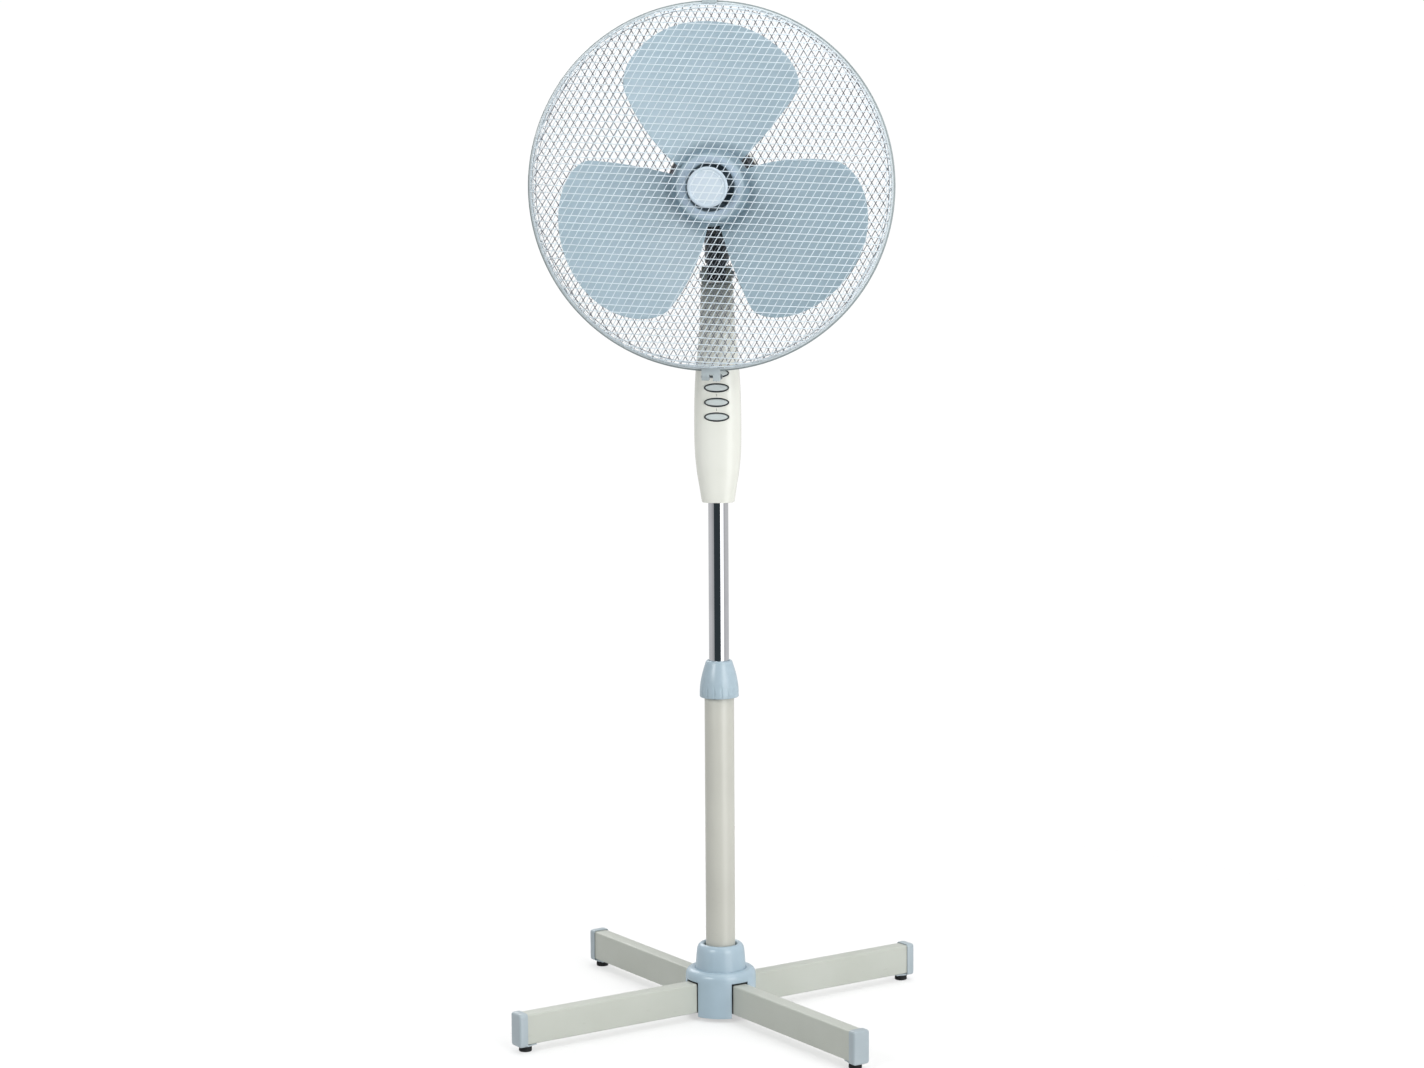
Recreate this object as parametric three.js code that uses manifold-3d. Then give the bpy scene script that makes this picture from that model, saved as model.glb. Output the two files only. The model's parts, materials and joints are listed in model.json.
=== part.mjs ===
// Pedestal fan: crossed steel legs, a telescoping column, a control housing with four push buttons,
// and a tilting, oscillating head with a three-bladed impeller inside two mesh guards.
// Millimetres, +Z up. The origin is on the floor, on the column's axis; the fan blows towards -Y.
import * as THREE from "three";
import { mergeVertices } from "three/addons/utils/BufferGeometryUtils.js";
import Module from "manifold-3d";

const wasm = await Module();
wasm.setup();

// ---------------------------------------------------------------- driving dimensions
const GAP = 0.3; // between neighbouring solids
const RAD = Math.PI / 180;

// base
const LEG_TIP = 300; // column axis to the outer face of a leg cap
const LEG_WIDTH = 20;
const LEG_BOTTOM = 9.5;
const LEG_TOP = 47;
const LEG_WALL = 1.5;
const CROSS_TURN = -7.5 * RAD; // the cross stands a little turned from the fan's front
const FOOT_RADIUS = 286.5; // column axis to a foot's centre
const CAP_WALL = 1.6;
const CAP_SKIRT = 11; // how far a cap reaches along the leg's sides
const COVER_RADIUS = 44.5;
const COVER_BOTTOM = 5;
const COVER_TOP = 92.5;

// column
const POLE_RADIUS = 18.5;
const POLE_WALL = 1.2;
const POLE_TOP = 412;
const TUBE_RADIUS = 12.5;
const TUBE_BOTTOM = 290;
const TUBE_TOP = 702;
const NUT_BOTTOM = 408;
const NUT_TOP = 454;

// control housing
const HOUSING_BOTTOM = 653;
const HOUSING_TOP = 923;
const HOUSING_WALL = 2.2;
const HOUSING_DEPTH = 0.8; // half depth as a share of half width
const BUTTON_HEIGHTS = [760.5, 778.5, 796.5, 814.5];
const BUTTON_WIDTH = 27.4;
const BUTTON_HEIGHT = 8;
const BUTTON_SLOT = 1.3; // free space round a button
const TILT_Z = 935; // axis of the tilt hinge, along X

// head
const HEAD_Z = 1042; // axis of the motor and the impeller, along Y
const MOTOR_RADIUS = 57;
const MOTOR_FRONT = -60;
const MOTOR_SPLIT = -36;
const MOTOR_BACK = 54;
const SHAFT_RADIUS = 4;
const NECK_TOP = 995.2;
const PIVOT_RADIUS = 5; // the vertical pin that the head swings on
const WHEEL_AXIS = [15, 16]; // x, y of the worm wheel's spindle
const CRANK_AXIS = [-1, 24]; // x, y of the crank gear's spindle
const CRANK_THROW = 9;
const LINK_PIN = [11.5, 9.6]; // x, y of the stud that the drag link turns on
const LINK_LENGTH = 19; // swings the head about 38 degrees each way

// guards and impeller
const RIM_Y = -105; // plane where the two guards meet
const RIM_RADIUS = 220;
const RIM_DEPTH = 6.5;
const RIM_THICK = 5;
const MESH_SKIN = 0.5; // sheet thickness that stands for the wire mesh
const BADGE_RADIUS = 24;
const BADGE_Y = -164.8;
const HUB_RADIUS = 47;
const HUB_BACK = -83;
const BLADE_TIP = 196;
const BLADE_CORNER = 150;
const BLADE_THICK = 2;
const BLADE_Y = -106;
const BLADES = 3;

// ---------------------------------------------------------------- materials
const paint = (color, roughness, metalness = 0) =>
  new THREE.MeshStandardMaterial({ color, roughness, metalness });
const MATERIAL = {
  cream: paint(0xe2e2d8, 0.35),
  creamSteel: paint(0xcfccbf, 0.4, 0.1),
  paleBlue: paint(0xaabfcd, 0.4),
  blade: paint(0xa9bfc9, 0.45),
  wire: paint(0xcbdde6, 0.35, 0.2),
  badge: paint(0xc8d8e4, 0.3),
  dark: paint(0x3a3d3d, 0.55),
  rubber: paint(0x17191a, 0.8),
  chrome: paint(0xd8dade, 0.08, 1),
  steel: paint(0xa8abad, 0.3, 1),
  brass: paint(0xc2a15a, 0.4, 1),
  copper: paint(0x9c5a33, 0.4, 0.8),
  button: paint(0xd2dadd, 0.3),
  inner: paint(0xe8e6dc, 0.6),
};

// ---------------------------------------------------------------- solid helpers
function toSolid(geometry) {
  const bare = geometry.index ? geometry.toNonIndexed() : geometry.clone();
  bare.deleteAttribute("normal");
  bare.deleteAttribute("uv");
  const merged = mergeVertices(bare, 1e-4);
  const mesh = new wasm.Mesh({
    numProp: 3,
    vertProperties: merged.attributes.position.array,
    triVerts: new Uint32Array(merged.index.array),
  });
  return new wasm.Manifold(mesh);
}

function toGeometry(solid) {
  const { vertProperties, triVerts } = solid.getMesh();
  const geometry = new THREE.BufferGeometry();
  geometry.setAttribute("position", new THREE.BufferAttribute(new Float32Array(vertProperties), 3));
  geometry.setIndex(new THREE.BufferAttribute(new Uint32Array(triVerts), 1));
  geometry.computeVertexNormals();
  return geometry;
}

const join = (...solids) => solids.reduce((a, b) => a.add(b));
const cut = (solid, ...tools) => tools.reduce((a, b) => a.subtract(b), solid);
const moved = (solid, x, y, z) => solid.translate([x, y, z]);
const turnedBy = (solid, radians) => solid.rotate([0, 0, radians / RAD]);

function box(x0, x1, y0, y1, z0, z1) {
  const geometry = new THREE.BoxGeometry(x1 - x0, y1 - y0, z1 - z0);
  geometry.translate((x0 + x1) / 2, (y0 + y1) / 2, (z0 + z1) / 2);
  return toSolid(geometry);
}

// A closed profile of [radius, height] pairs, turned about Y. It is reversed if it would face inwards.
function lathe(profile, segments) {
  const make = (points) =>
    toSolid(new THREE.LatheGeometry(points.map(([r, h]) => new THREE.Vector2(r, h)), segments));
  const onAxis = profile[0][0] === 0 && profile.at(-1)[0] === 0;
  const closed = onAxis ? profile : [...profile, profile[0]];
  const solid = make(closed);
  return solid.volume() > 0 ? solid : make([...closed].reverse());
}
const turnedY = (profile, segments = 24) => lathe(profile, segments);
const turnedZ = (profile, segments = 24) => lathe(profile, segments).rotate([90, 0, 0]);

const band = (outer, inner, low, high) => [[inner, low], [outer, low], [outer, high], [inner, high]];
const disc = (radius, low, high) => [[0, low], [radius, low], [radius, high], [0, high]];
const rodZ = (radius, z0, z1, x = 0, y = 0, segments = 16) =>
  moved(turnedZ(disc(radius, z0, z1), segments), x, y, 0);
const rodY = (radius, y0, y1, x = 0, z = 0, segments = 16) =>
  moved(turnedY(disc(radius, y0, y1), segments), x, 0, z);
const rodX = (radius, x0, x1, y = 0, z = 0, segments = 16) =>
  moved(turnedY(disc(radius, x0, x1), segments).rotate([0, 0, -90]), 0, y, z);

// A flat outline of [x, y] points, extruded along Z.
function slab(outline, z0, z1, holes = []) {
  const shape = new THREE.Shape(outline.map(([x, y]) => new THREE.Vector2(x, y)));
  shape.holes = holes.map((hole) => new THREE.Path(hole.map(([x, y]) => new THREE.Vector2(x, y))));
  const geometry = new THREE.ExtrudeGeometry(shape, { depth: z1 - z0, bevelEnabled: false });
  geometry.translate(0, 0, z0);
  return toSolid(geometry);
}

function ellipse(halfWidth, halfHeight, segments = 24) {
  return Array.from({ length: segments }, (_, i) => {
    const angle = (2 * Math.PI * i) / segments;
    return [halfWidth * Math.cos(angle), halfHeight * Math.sin(angle)];
  });
}

function roundedRectangle(halfWidth, halfHeight, radius, steps = 2) {
  const corners = [[1, 1, 0], [-1, 1, 90], [-1, -1, 180], [1, -1, 270]];
  return corners.flatMap(([sx, sy, start]) =>
    Array.from({ length: steps + 1 }, (_, i) => {
      const angle = (start + (90 * i) / steps) * RAD;
      return [
        sx * (halfWidth - radius) + radius * Math.cos(angle),
        sy * (halfHeight - radius) + radius * Math.sin(angle),
      ];
    }),
  );
}

// A closed surface through rings of points, each ring with the same count. It is turned to face out.
function skinned(rings) {
  const count = rings[0].length;
  const middle = (ring) => ring[0].map((_, k) => ring.reduce((sum, p) => sum + p[k], 0) / count);
  const points = [...rings.flat(), middle(rings[0]), middle(rings.at(-1))];
  const bottom = points.length - 2;
  const last = (rings.length - 1) * count;
  const span = (m, n) => Math.hypot(...points[m].map((value, k) => value - points[n][k]));
  const faces = [];
  for (let i = 0; i < count; i++) {
    const next = (i + 1) % count;
    faces.push(bottom, next, i, bottom + 1, last + i, last + next);
    for (let k = 0; k < rings.length - 1; k++) {
      const [a, b, c, d] = [k * count + i, k * count + next, (k + 1) * count + next, (k + 1) * count + i];
      faces.push(...(span(a, c) < span(b, d) ? [a, b, c, a, c, d] : [a, b, d, b, c, d]));
    }
  }
  const make = (index) => {
    const geometry = new THREE.BufferGeometry();
    geometry.setAttribute("position", new THREE.Float32BufferAttribute(points.flat(), 3));
    geometry.setIndex(index);
    return toSolid(geometry);
  };
  const solid = make(faces);
  return solid.volume() > 0 ? solid : make([...faces].reverse());
}

// The profile's points and the same points moved sideways by the thickness, as one closed loop.
function sheetProfile(points, thickness) {
  const moved = points.map(([r, y], i) => {
    const [r0, y0] = points[Math.max(i - 1, 0)];
    const [r1, y1] = points[Math.min(i + 1, points.length - 1)];
    const length = Math.hypot(r1 - r0, y1 - y0);
    return [r - ((y1 - y0) / length) * thickness, y + ((r1 - r0) / length) * thickness];
  });
  return [...points, ...moved.reverse()];
}

// ---------------------------------------------------------------- the assembly
const fan = new THREE.Group();
function add(name, solid, material) {
  const mesh = new THREE.Mesh(toGeometry(solid), material);
  mesh.name = name;
  fan.add(mesh);
}

// ---------------------------------------------------------------- base
const SCREW_RADIUS = 2.2;
const SCREW_CIRCLE = 26; // column axis to a flange screw
const LEG_INNER_END = LEG_TIP - CAP_WALL - GAP;

// One rectangular tube right across the base, half-lapped where the two tubes cross.
function legBeam(notchAtTop) {
  const middle = (LEG_BOTTOM + LEG_TOP) / 2;
  const half = (LEG_TOP - LEG_BOTTOM) / 2;
  const outer = roundedRectangle(LEG_WIDTH / 2, half, 2);
  const inner = roundedRectangle(LEG_WIDTH / 2 - LEG_WALL, half - LEG_WALL, 0.6, 1);
  const tube = moved(
    slab(outer, -LEG_INNER_END, LEG_INNER_END, [inner]).rotate([90, 0, 0]),
    0, 0, middle,
  ).rotate([0, 0, 90]);
  const reach = LEG_WIDTH / 2 + GAP;
  const notch = notchAtTop
    ? box(-reach, reach, -20, 20, middle - GAP, LEG_TOP + 5)
    : box(-reach, reach, -20, 20, LEG_BOTTOM - 5, middle + GAP);
  const holes = [-1, 1].map((side) => rodZ(SCREW_RADIUS + GAP, middle, LEG_TOP + 5, side * SCREW_CIRCLE));
  return cut(tube, notch, ...(notchAtTop ? holes : []));
}

// A plastic cap over the end of a leg, with a tongue under the leg that holds the foot. Points along +X.
function legCap() {
  const half = LEG_WIDTH / 2 + CAP_WALL;
  const outline = roundedRectangle(half, (LEG_TOP + CAP_WALL - 7) / 2, 3);
  const shell = moved(slab(outline, LEG_TIP - CAP_SKIRT, LEG_TIP).rotate([90, 0, 90]), 0, 0,
    (LEG_TOP + CAP_WALL + 7) / 2);
  const socket = box(LEG_TIP - CAP_SKIRT - 5, LEG_INNER_END + GAP, -LEG_WIDTH / 2 - GAP, LEG_WIDTH / 2 + GAP,
    LEG_BOTTOM - GAP, LEG_TOP + GAP);
  const tongue = box(FOOT_RADIUS - 12, LEG_TIP - 3, -9, 9, 7, LEG_BOTTOM - GAP);
  return cut(join(shell, tongue), socket, rodZ(2.4, 0, LEG_BOTTOM + 1, FOOT_RADIUS, 0, 12));
}

// A moulded rubber foot with a stem pushed up into the cap's tongue.
function foot() {
  const profile = [[0, 0], [7.2, 0], [8, 1], [7.6, 6.7], [2.1, 6.7], [2.1, 9], [0, 9]];
  return moved(turnedZ(profile, 14), FOOT_RADIUS, 0, 0);
}

// A steel plate on the crossed tubes, with a short spigot that the pole is pressed onto.
function poleFlange() {
  const plate = slab(roundedRectangle(31, 31, 6), LEG_TOP + GAP, LEG_TOP + 3);
  const spigot = turnedZ(band(POLE_RADIUS - POLE_WALL - GAP, 14.2, LEG_TOP + 2.5, 92));
  const holes = [-1, 1].map((side) => rodZ(SCREW_RADIUS + GAP, LEG_TOP - 5, LEG_TOP + 5, side * SCREW_CIRCLE));
  return cut(join(plate, spigot), ...holes);
}

function flangeScrew(side) {
  const seat = LEG_TOP + 3 + GAP;
  const profile = [[0, 34], [SCREW_RADIUS, 34], [SCREW_RADIUS, seat], [4.4, seat], [4.2, seat + 2.2],
    [2.5, seat + 3.2], [0, seat + 3.4]];
  return moved(turnedZ(profile, 16), side * SCREW_CIRCLE, 0, 0);
}

// A moulded cover over the crossing: a cone round the pole on a drum with four slots for the legs.
function baseCover() {
  const outside = [[COVER_RADIUS, COVER_BOTTOM], [COVER_RADIUS, 55], [41.8, 60], [38, 61.2], [34, 61.2],
    [31.2, 84], [28, 91.4], [23.4, COVER_TOP], [20.6, 90]];
  const inside = [[20.6, 85], [28.4, 83], [31, 58.6], [40, 57.6], [42.2, 54], [42.2, COVER_BOTTOM]];
  const shell = turnedZ([...outside, ...inside], 28);
  const slotHalf = LEG_WIDTH / 2 + 2;
  const slot = box(24, COVER_RADIUS + 5, -slotHalf, slotHalf, -1, LEG_TOP + 2);
  return cut(shell, ...[0, 90, 180, 270].map((turn) => slot.rotate([0, 0, turn])));
}

const pole = () => turnedZ(band(POLE_RADIUS, POLE_RADIUS - POLE_WALL, LEG_TOP + 3 + GAP, POLE_TOP), 28);

// The plastic bush in the pole's mouth. Its upper half is the threaded collet that the nut squeezes.
function poleBush() {
  const bore = TUBE_RADIUS + GAP;
  const inPole = POLE_RADIUS - POLE_WALL - GAP;
  const profile = [[bore, 378], [inPole, 378], [inPole, POLE_TOP + GAP], [POLE_RADIUS, POLE_TOP + GAP],
    [POLE_RADIUS, 415], [17.4, 415], [17.4, 436], [15.2, 444], [bore, 444]];
  const slit = box(-1, 1, -30, 30, 424, 450);
  return cut(turnedZ(profile, 24), slit, slit.rotate([0, 0, 90]));
}

// The bell-shaped clamping nut, with shallow grip flutes round its skirt.
function heightNut() {
  const outside = [[24.4, NUT_BOTTOM], [24.4, 420], [22.6, 432], [19, 446], [15.6, NUT_TOP], [13.2, NUT_TOP]];
  const inside = [[13.2, 450.5], [18, 440], [18, 417], [19.2, 416], [19.2, NUT_BOTTOM]];
  const bell = turnedZ([...outside, ...inside], 24);
  const flute = rodZ(2.2, NUT_BOTTOM - 1, 424, 26, 0, 6);
  return cut(bell, ...Array.from({ length: 8 }, (_, i) => flute.rotate([0, 0, i * 45 + 22.5])));
}

const cross = (solid, quarter = 0) => turnedBy(solid, CROSS_TURN + (45 + 90 * quarter) * RAD);
add("leg_beam_lower", cross(legBeam(true)), MATERIAL.creamSteel);
add("leg_beam_upper", cross(legBeam(false), 1), MATERIAL.creamSteel);
for (let quarter = 0; quarter < 4; quarter++) {
  add(`leg_cap_${quarter + 1}`, cross(legCap(), quarter), MATERIAL.paleBlue);
  add(`foot_${quarter + 1}`, cross(foot(), quarter), MATERIAL.rubber);
}
add("pole_flange", cross(poleFlange()), MATERIAL.steel);
add("flange_screw_1", cross(flangeScrew(1)), MATERIAL.steel);
add("flange_screw_2", cross(flangeScrew(-1)), MATERIAL.steel);
add("base_cover", cross(baseCover()), MATERIAL.paleBlue);
add("pole", pole(), MATERIAL.creamSteel);
add("pole_bush", poleBush(), MATERIAL.dark);
add("height_nut", heightNut(), MATERIAL.paleBlue);

// ---------------------------------------------------------------- sliding column and control housing
const HOUSING_LEVELS = [ // [height, half width]
  [HOUSING_BOTTOM, 20.4], [672, 23.2], [690, 26.2], [712, 28.4], [735, 29.2], [782, 28.8], [812, 27.4],
  [845, 24.2], [876, 21.8], [HOUSING_TOP, 19.8],
];
const HOUSING_CURVE = 2.4; // exponent of the housing's oval: 2 would be an ellipse

const housingRing = (z, halfWidth, sides = 20) =>
  Array.from({ length: sides }, (_, i) => {
    const angle = (2 * Math.PI * (i + 0.5)) / sides;
    const bulge = (value) => Math.sign(value) * Math.abs(value) ** (2 / HOUSING_CURVE);
    return [halfWidth * bulge(Math.cos(angle)), halfWidth * HOUSING_DEPTH * bulge(Math.sin(angle)), z];
  });

const buttonPlug = (halfWidth, halfHeight, front, back) =>
  slab(ellipse(halfWidth, halfHeight, 20), -back, -front).rotate([90, 0, 0]);

function housingShell() {
  const outer = skinned(HOUSING_LEVELS.map(([z, half]) => housingRing(z, half)));
  const levels = HOUSING_LEVELS.slice(1, -1).map(([z, half]) => housingRing(z, half - HOUSING_WALL));
  return cut(
    outer,
    skinned(levels),
    rodZ(TUBE_RADIUS + GAP, HOUSING_BOTTOM - 5, 680, 0, 0, 24),
    box(-15.5, 15.5, -11, 11, HOUSING_TOP - 32, HOUSING_TOP + 5),
  );
}

function housingFront() {
  const slots = BUTTON_HEIGHTS.map((z) =>
    moved(buttonPlug(BUTTON_WIDTH / 2 + BUTTON_SLOT, BUTTON_HEIGHT / 2 + BUTTON_SLOT, -40, -5), 0, 0, z));
  return cut(housingShell(), box(-40, 40, -GAP / 2, 40, 640, 930), ...slots);
}

const SCREW_SPOTS = [705, 845]; // heights of the two screws that hold the housing's halves together
function housingBack() {
  const holes = SCREW_SPOTS.map((z) => rodY(2, 5, 40, 0, z, 12));
  const glandHole = rodY(4.6, 5, 40, 0, GLAND_Z, 16);
  return cut(housingShell(), box(-40, 40, -40, GAP / 2, 640, 930), glandHole, ...holes);
}

function housingScrew(z, surface) {
  const profile = [[0, 4], [1.7, 4], [1.7, surface + GAP], [3.4, surface + GAP], [3.2, surface + 1.5],
    [0, surface + 2]];
  return moved(turnedY(profile, 14), 0, 0, z);
}

const GLAND_Z = 678;
// A rubber strain relief for the mains lead, through the back of the housing.
function cableGland() {
  const back = 24 * HOUSING_DEPTH + 1;
  const profile = [[0, 14.4], [6, 14.4], [6, 16.4], [4.3, 16.4], [4.3, back], [6.4, back], [6.4, back + 2],
    [4.6, back + 4], [3.6, back + 16], [2.4, back + 16], [2.4, back + 6], [0, back + 6]];
  return moved(turnedY(profile, 16), 0, 0, GLAND_Z);
}

const innerTube = () => turnedZ(band(TUBE_RADIUS, TUBE_RADIUS - 1.1, TUBE_BOTTOM, TUBE_TOP), 28);
const stopRing = () => turnedZ(band(16.6, TUBE_RADIUS + GAP, TUBE_BOTTOM + 2, TUBE_BOTTOM + 20), 24);

function housingHalfWidth(z) {
  const above = HOUSING_LEVELS.findIndex(([level]) => level > z);
  const [[z0, w0], [z1, w1]] = HOUSING_LEVELS.slice(above - 1, above + 1);
  return w0 + ((w1 - w0) * (z - z0)) / (z1 - z0);
}

function speedButton(z) {
  const front = -housingHalfWidth(z) * HOUSING_DEPTH - 0.8;
  const plug = moved(buttonPlug(BUTTON_WIDTH / 2, BUTTON_HEIGHT / 2, front, -17), 0, 0, z);
  return join(plug, box(-8, 8, -18, -13, z - 2.6, z + 2.6));
}

function switchBlock() {
  const body = box(-12, 12, -7.5, 9, 750, 826);
  const rocker = BUTTON_HEIGHTS.map((z) => box(-9, 9, -8.5, -7, z - 4, z + 4));
  return join(body, ...rocker);
}

const capacitor = () => box(-9, 9, -10, 3, 836, 866);

const [EAR_INNER, EAR_OUTER] = [11.4, 18.6];
// The fork on top of the housing that the neck tilts in.
function tiltYoke() {
  const plug = box(-15.2, 15.2, -10.7, 10.7, HOUSING_TOP - 30, HOUSING_TOP + 2);
  const collar = box(-18.6, 18.6, -13.6, 13.6, HOUSING_TOP + GAP, HOUSING_TOP + 3);
  const ears = [-1, 1].map((side) => {
    const [inner, outer] = side > 0 ? [EAR_INNER, EAR_OUTER] : [-EAR_OUTER, -EAR_INNER];
    return join(box(inner, outer, -11, 11, HOUSING_TOP + 1, TILT_Z), rodX(11, inner, outer, 0, TILT_Z, 20));
  });
  const throat = box(-EAR_INNER, EAR_INNER, -15, 15, TILT_Z - 10, TILT_Z + 20);
  return cut(join(plug, collar, ...ears), rodX(3.3, -30, 30, 0, TILT_Z), throat);
}

function tiltBolt() {
  const [seat, end] = [EAR_OUTER + GAP, EAR_OUTER + 2.8];
  return join(rodX(3, -seat - 1, seat, 0, TILT_Z), rodX(5.2, seat, end, 0, TILT_Z, 6),
    rodX(5, -end, -seat, 0, TILT_Z, 6));
}

add("inner_tube", innerTube(), MATERIAL.chrome);
add("stop_ring", stopRing(), MATERIAL.dark);
add("housing_front", housingFront(), MATERIAL.cream);
add("housing_back", housingBack(), MATERIAL.cream);
add("housing_screw_lower", housingScrew(SCREW_SPOTS[0], 27.9 * HOUSING_DEPTH), MATERIAL.steel);
add("housing_screw_upper", housingScrew(SCREW_SPOTS[1], 24.4 * HOUSING_DEPTH), MATERIAL.steel);
add("cable_gland", cableGland(), MATERIAL.rubber);
add("switch_block", switchBlock(), MATERIAL.dark);
add("motor_capacitor", capacitor(), MATERIAL.inner);
add("tilt_yoke", tiltYoke(), MATERIAL.cream);
add("tilt_bolt", tiltBolt(), MATERIAL.steel);
BUTTON_HEIGHTS.forEach((z, i) => {
  add(`speed_button_${i}`, speedButton(z), MATERIAL.button);
});

// ---------------------------------------------------------------- neck
// The dark neck: a tongue in the fork, a tapering body, and a round platform under the motor.
function neck() {
  const ring = (z, halfWidth, halfDepth) =>
    ellipse(halfWidth, halfDepth, 20).map(([x, y]) => [x, y, z]);
  const body = skinned([ring(TILT_Z + 13.6, 14.6, 14), ring(956, 15, 15), ring(970, 15, 15),
    ring(978, 16.4, 16.4), ring(982, 19, 19), ring(NECK_TOP, 19, 19)]);
  const tongue = join(rodX(9.4, -11.1, 11.1, 0, TILT_Z, 20), box(-11.1, 11.1, -9.4, 9.4, TILT_Z, 952));
  const linkStud = rodZ(2, NECK_TOP - 2, NECK_TOP + 3.4, ...LINK_PIN, 12);
  return cut(join(body, tongue, linkStud), rodX(3.3, -30, 30, 0, TILT_Z), rodZ(PIVOT_RADIUS + GAP, 958, 1000));
}

const pivotPin = () => rodZ(PIVOT_RADIUS, 958 + GAP, 1011, 0, 0, 20);

// Where the crank pin stands at rest: one crank throw from its spindle and one link length from the stud.
function crankPin() {
  const [cx, cy] = CRANK_AXIS;
  const [dx, dy] = [LINK_PIN[0] - cx, LINK_PIN[1] - cy];
  const apart = Math.hypot(dx, dy);
  const along = (CRANK_THROW ** 2 - LINK_LENGTH ** 2 + apart ** 2) / (2 * apart);
  const aside = Math.sqrt(CRANK_THROW ** 2 - along ** 2);
  return [cx + (dx * along - dy * aside) / apart, cy + (dy * along + dx * aside) / apart];
}

// The strap that swings the head as the crank turns. The crank pin stops just above its free eye.
function dragLink() {
  const [low, high] = [NECK_TOP + 0.8, NECK_TOP + 3];
  const [px, py] = crankPin();
  const bar = join(box(0, LINK_LENGTH, -2.6, 2.6, low, high), rodZ(4, low, high),
    rodZ(4, low, high, LINK_LENGTH));
  const eyes = cut(bar, rodZ(2.1, 980, 1010, 0, 0, 12), rodZ(2, 980, 1010, LINK_LENGTH, 0, 12));
  return moved(turnedBy(eyes, Math.atan2(py - LINK_PIN[1], px - LINK_PIN[0])), ...LINK_PIN, 0);
}

add("neck", neck(), MATERIAL.dark);
add("pivot_pin", pivotPin(), MATERIAL.steel);
add("drag_link", dragLink(), MATERIAL.steel);

// ---------------------------------------------------------------- motor head
const head = (solid) => moved(solid, 0, 0, HEAD_Z);

function motorFrontShell() {
  const outside = [[19.5, -76], [19.5, MOTOR_FRONT], [48, MOTOR_FRONT], [MOTOR_RADIUS, -50],
    [MOTOR_RADIUS, MOTOR_SPLIT - GAP]];
  const inside = [[MOTOR_RADIUS - 2, MOTOR_SPLIT - GAP], [MOTOR_RADIUS - 2, -49.4], [47, -57.6],
    [9.4, -57.6], [9.4, -63], [6, -63], [6, -76]];
  return head(turnedY([...outside, ...inside], 28));
}

function motorRearShell() {
  const outside = [[MOTOR_RADIUS, MOTOR_SPLIT], [MOTOR_RADIUS, 36], [51, 49], [38, 53.4], [0, MOTOR_BACK]];
  const inside = [[0, MOTOR_BACK - 2], [38, 51.4], [50, 47.2], [MOTOR_RADIUS - 2, 35.4],
    [MOTOR_RADIUS - 2, MOTOR_SPLIT]];
  const vents = [-2, -1, 0, 1, 2].map((i) => box(-18, 18, 40, 60, 10 * i - 1.7, 10 * i + 1.7));
  return cut(
    head(turnedY([...outside, ...inside], 28)),
    head(join(...vents)),
    rodZ(20.5, 960, 1000, 0, 0, 24),
    rodZ(4.2, HEAD_Z, 1120, ...WHEEL_AXIS, 16),
    rodY(1.9, 40, 60, 0, HEAD_Z - 36, 12),
  );
}

function rearShellScrew() {
  const profile = [[0, 36.6], [1.6, 36.6], [1.6, 53.9], [3.4, 53.9], [3, 55.6], [0, 56]];
  return moved(turnedY(profile, 14), 0, 0, HEAD_Z - 36);
}

// Laminated ring with the two winding heads standing proud of its faces.
function stator() {
  const profile = [[30, -54], [40, -54], [42, -48], [46, -48], [46, -18], [42, -18], [40, -13], [30, -13]];
  return head(turnedY(profile, 24));
}

const rotor = () => head(turnedY(band(29, SHAFT_RADIUS + 0.1, -50, -16), 24));

// The shaft, with the worm cut on its back end.
function motorShaft() {
  const profile = [[0, -126], [SHAFT_RADIUS, -126], [SHAFT_RADIUS, 8], [5, 9], [5, 23], [3, 24], [3, 30],
    [0, 30]];
  return head(turnedY(profile, 20));
}

const frontBearing = () => head(turnedY(band(9, SHAFT_RADIUS + 0.1, -62.6, -57.9), 20));
const rearBearing = () => head(turnedY(band(8, SHAFT_RADIUS + 0.1, -8.7, -4), 20));

// The cast gear case behind the motor, with the boss underneath that turns on the neck's pin.
function gearCase() {
  const shell = cut(box(-24, 27.6, -9, 36, 1003.6, 1066), box(-21.5, 25.2, -2, 40, 1006, 1063.5));
  const boss = rodZ(8, NECK_TOP + GAP, 1014, 0, 0, 20);
  return cut(
    join(shell, boss),
    rodZ(PIVOT_RADIUS + GAP, 990, 1012, 0, 0, 20),
    rodY(8.3, -10, 0, 0, HEAD_Z, 20),
    rodZ(3, 1060, 1070, ...WHEEL_AXIS),
    rodZ(3.3, 1000, 1010, ...CRANK_AXIS),
  );
}

function toothed(radius, depth, teeth, z0, z1) {
  const outline = Array.from({ length: teeth * 2 }, (_, i) => {
    const angle = (Math.PI * i) / teeth;
    const r = i % 2 ? radius - depth : radius;
    return [r * Math.cos(angle), r * Math.sin(angle)];
  });
  return slab(outline, z0, z1);
}

// The wheel that the worm drives, its spindle up to the knob's clutch, and the pinion under it.
function wormWheel() {
  const wheel = toothed(9.6, 1.2, 30, 1037, 1047);
  const spindle = rodZ(2.5, 1018, 1067, 0, 0, 12);
  const pinion = toothed(3.7, 0.8, 8, 1019, 1027);
  return moved(join(wheel, spindle, pinion), ...WHEEL_AXIS, 0);
}

// The slow gear, its spindle through the case, and the crank with its pin below.
function crankGear() {
  const [x, y] = CRANK_AXIS;
  const [px, py] = crankPin();
  const gear = moved(toothed(14, 1, 32, 1020, 1025), x, y, 0);
  return join(gear, rodZ(3, 1001, 1021, x, y, 12), rodZ(CRANK_THROW + 3, 1000.6, 1003.2, x, y, 20),
    rodZ(1.8, NECK_TOP + 3.8, 1001, px, py, 12));
}

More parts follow.
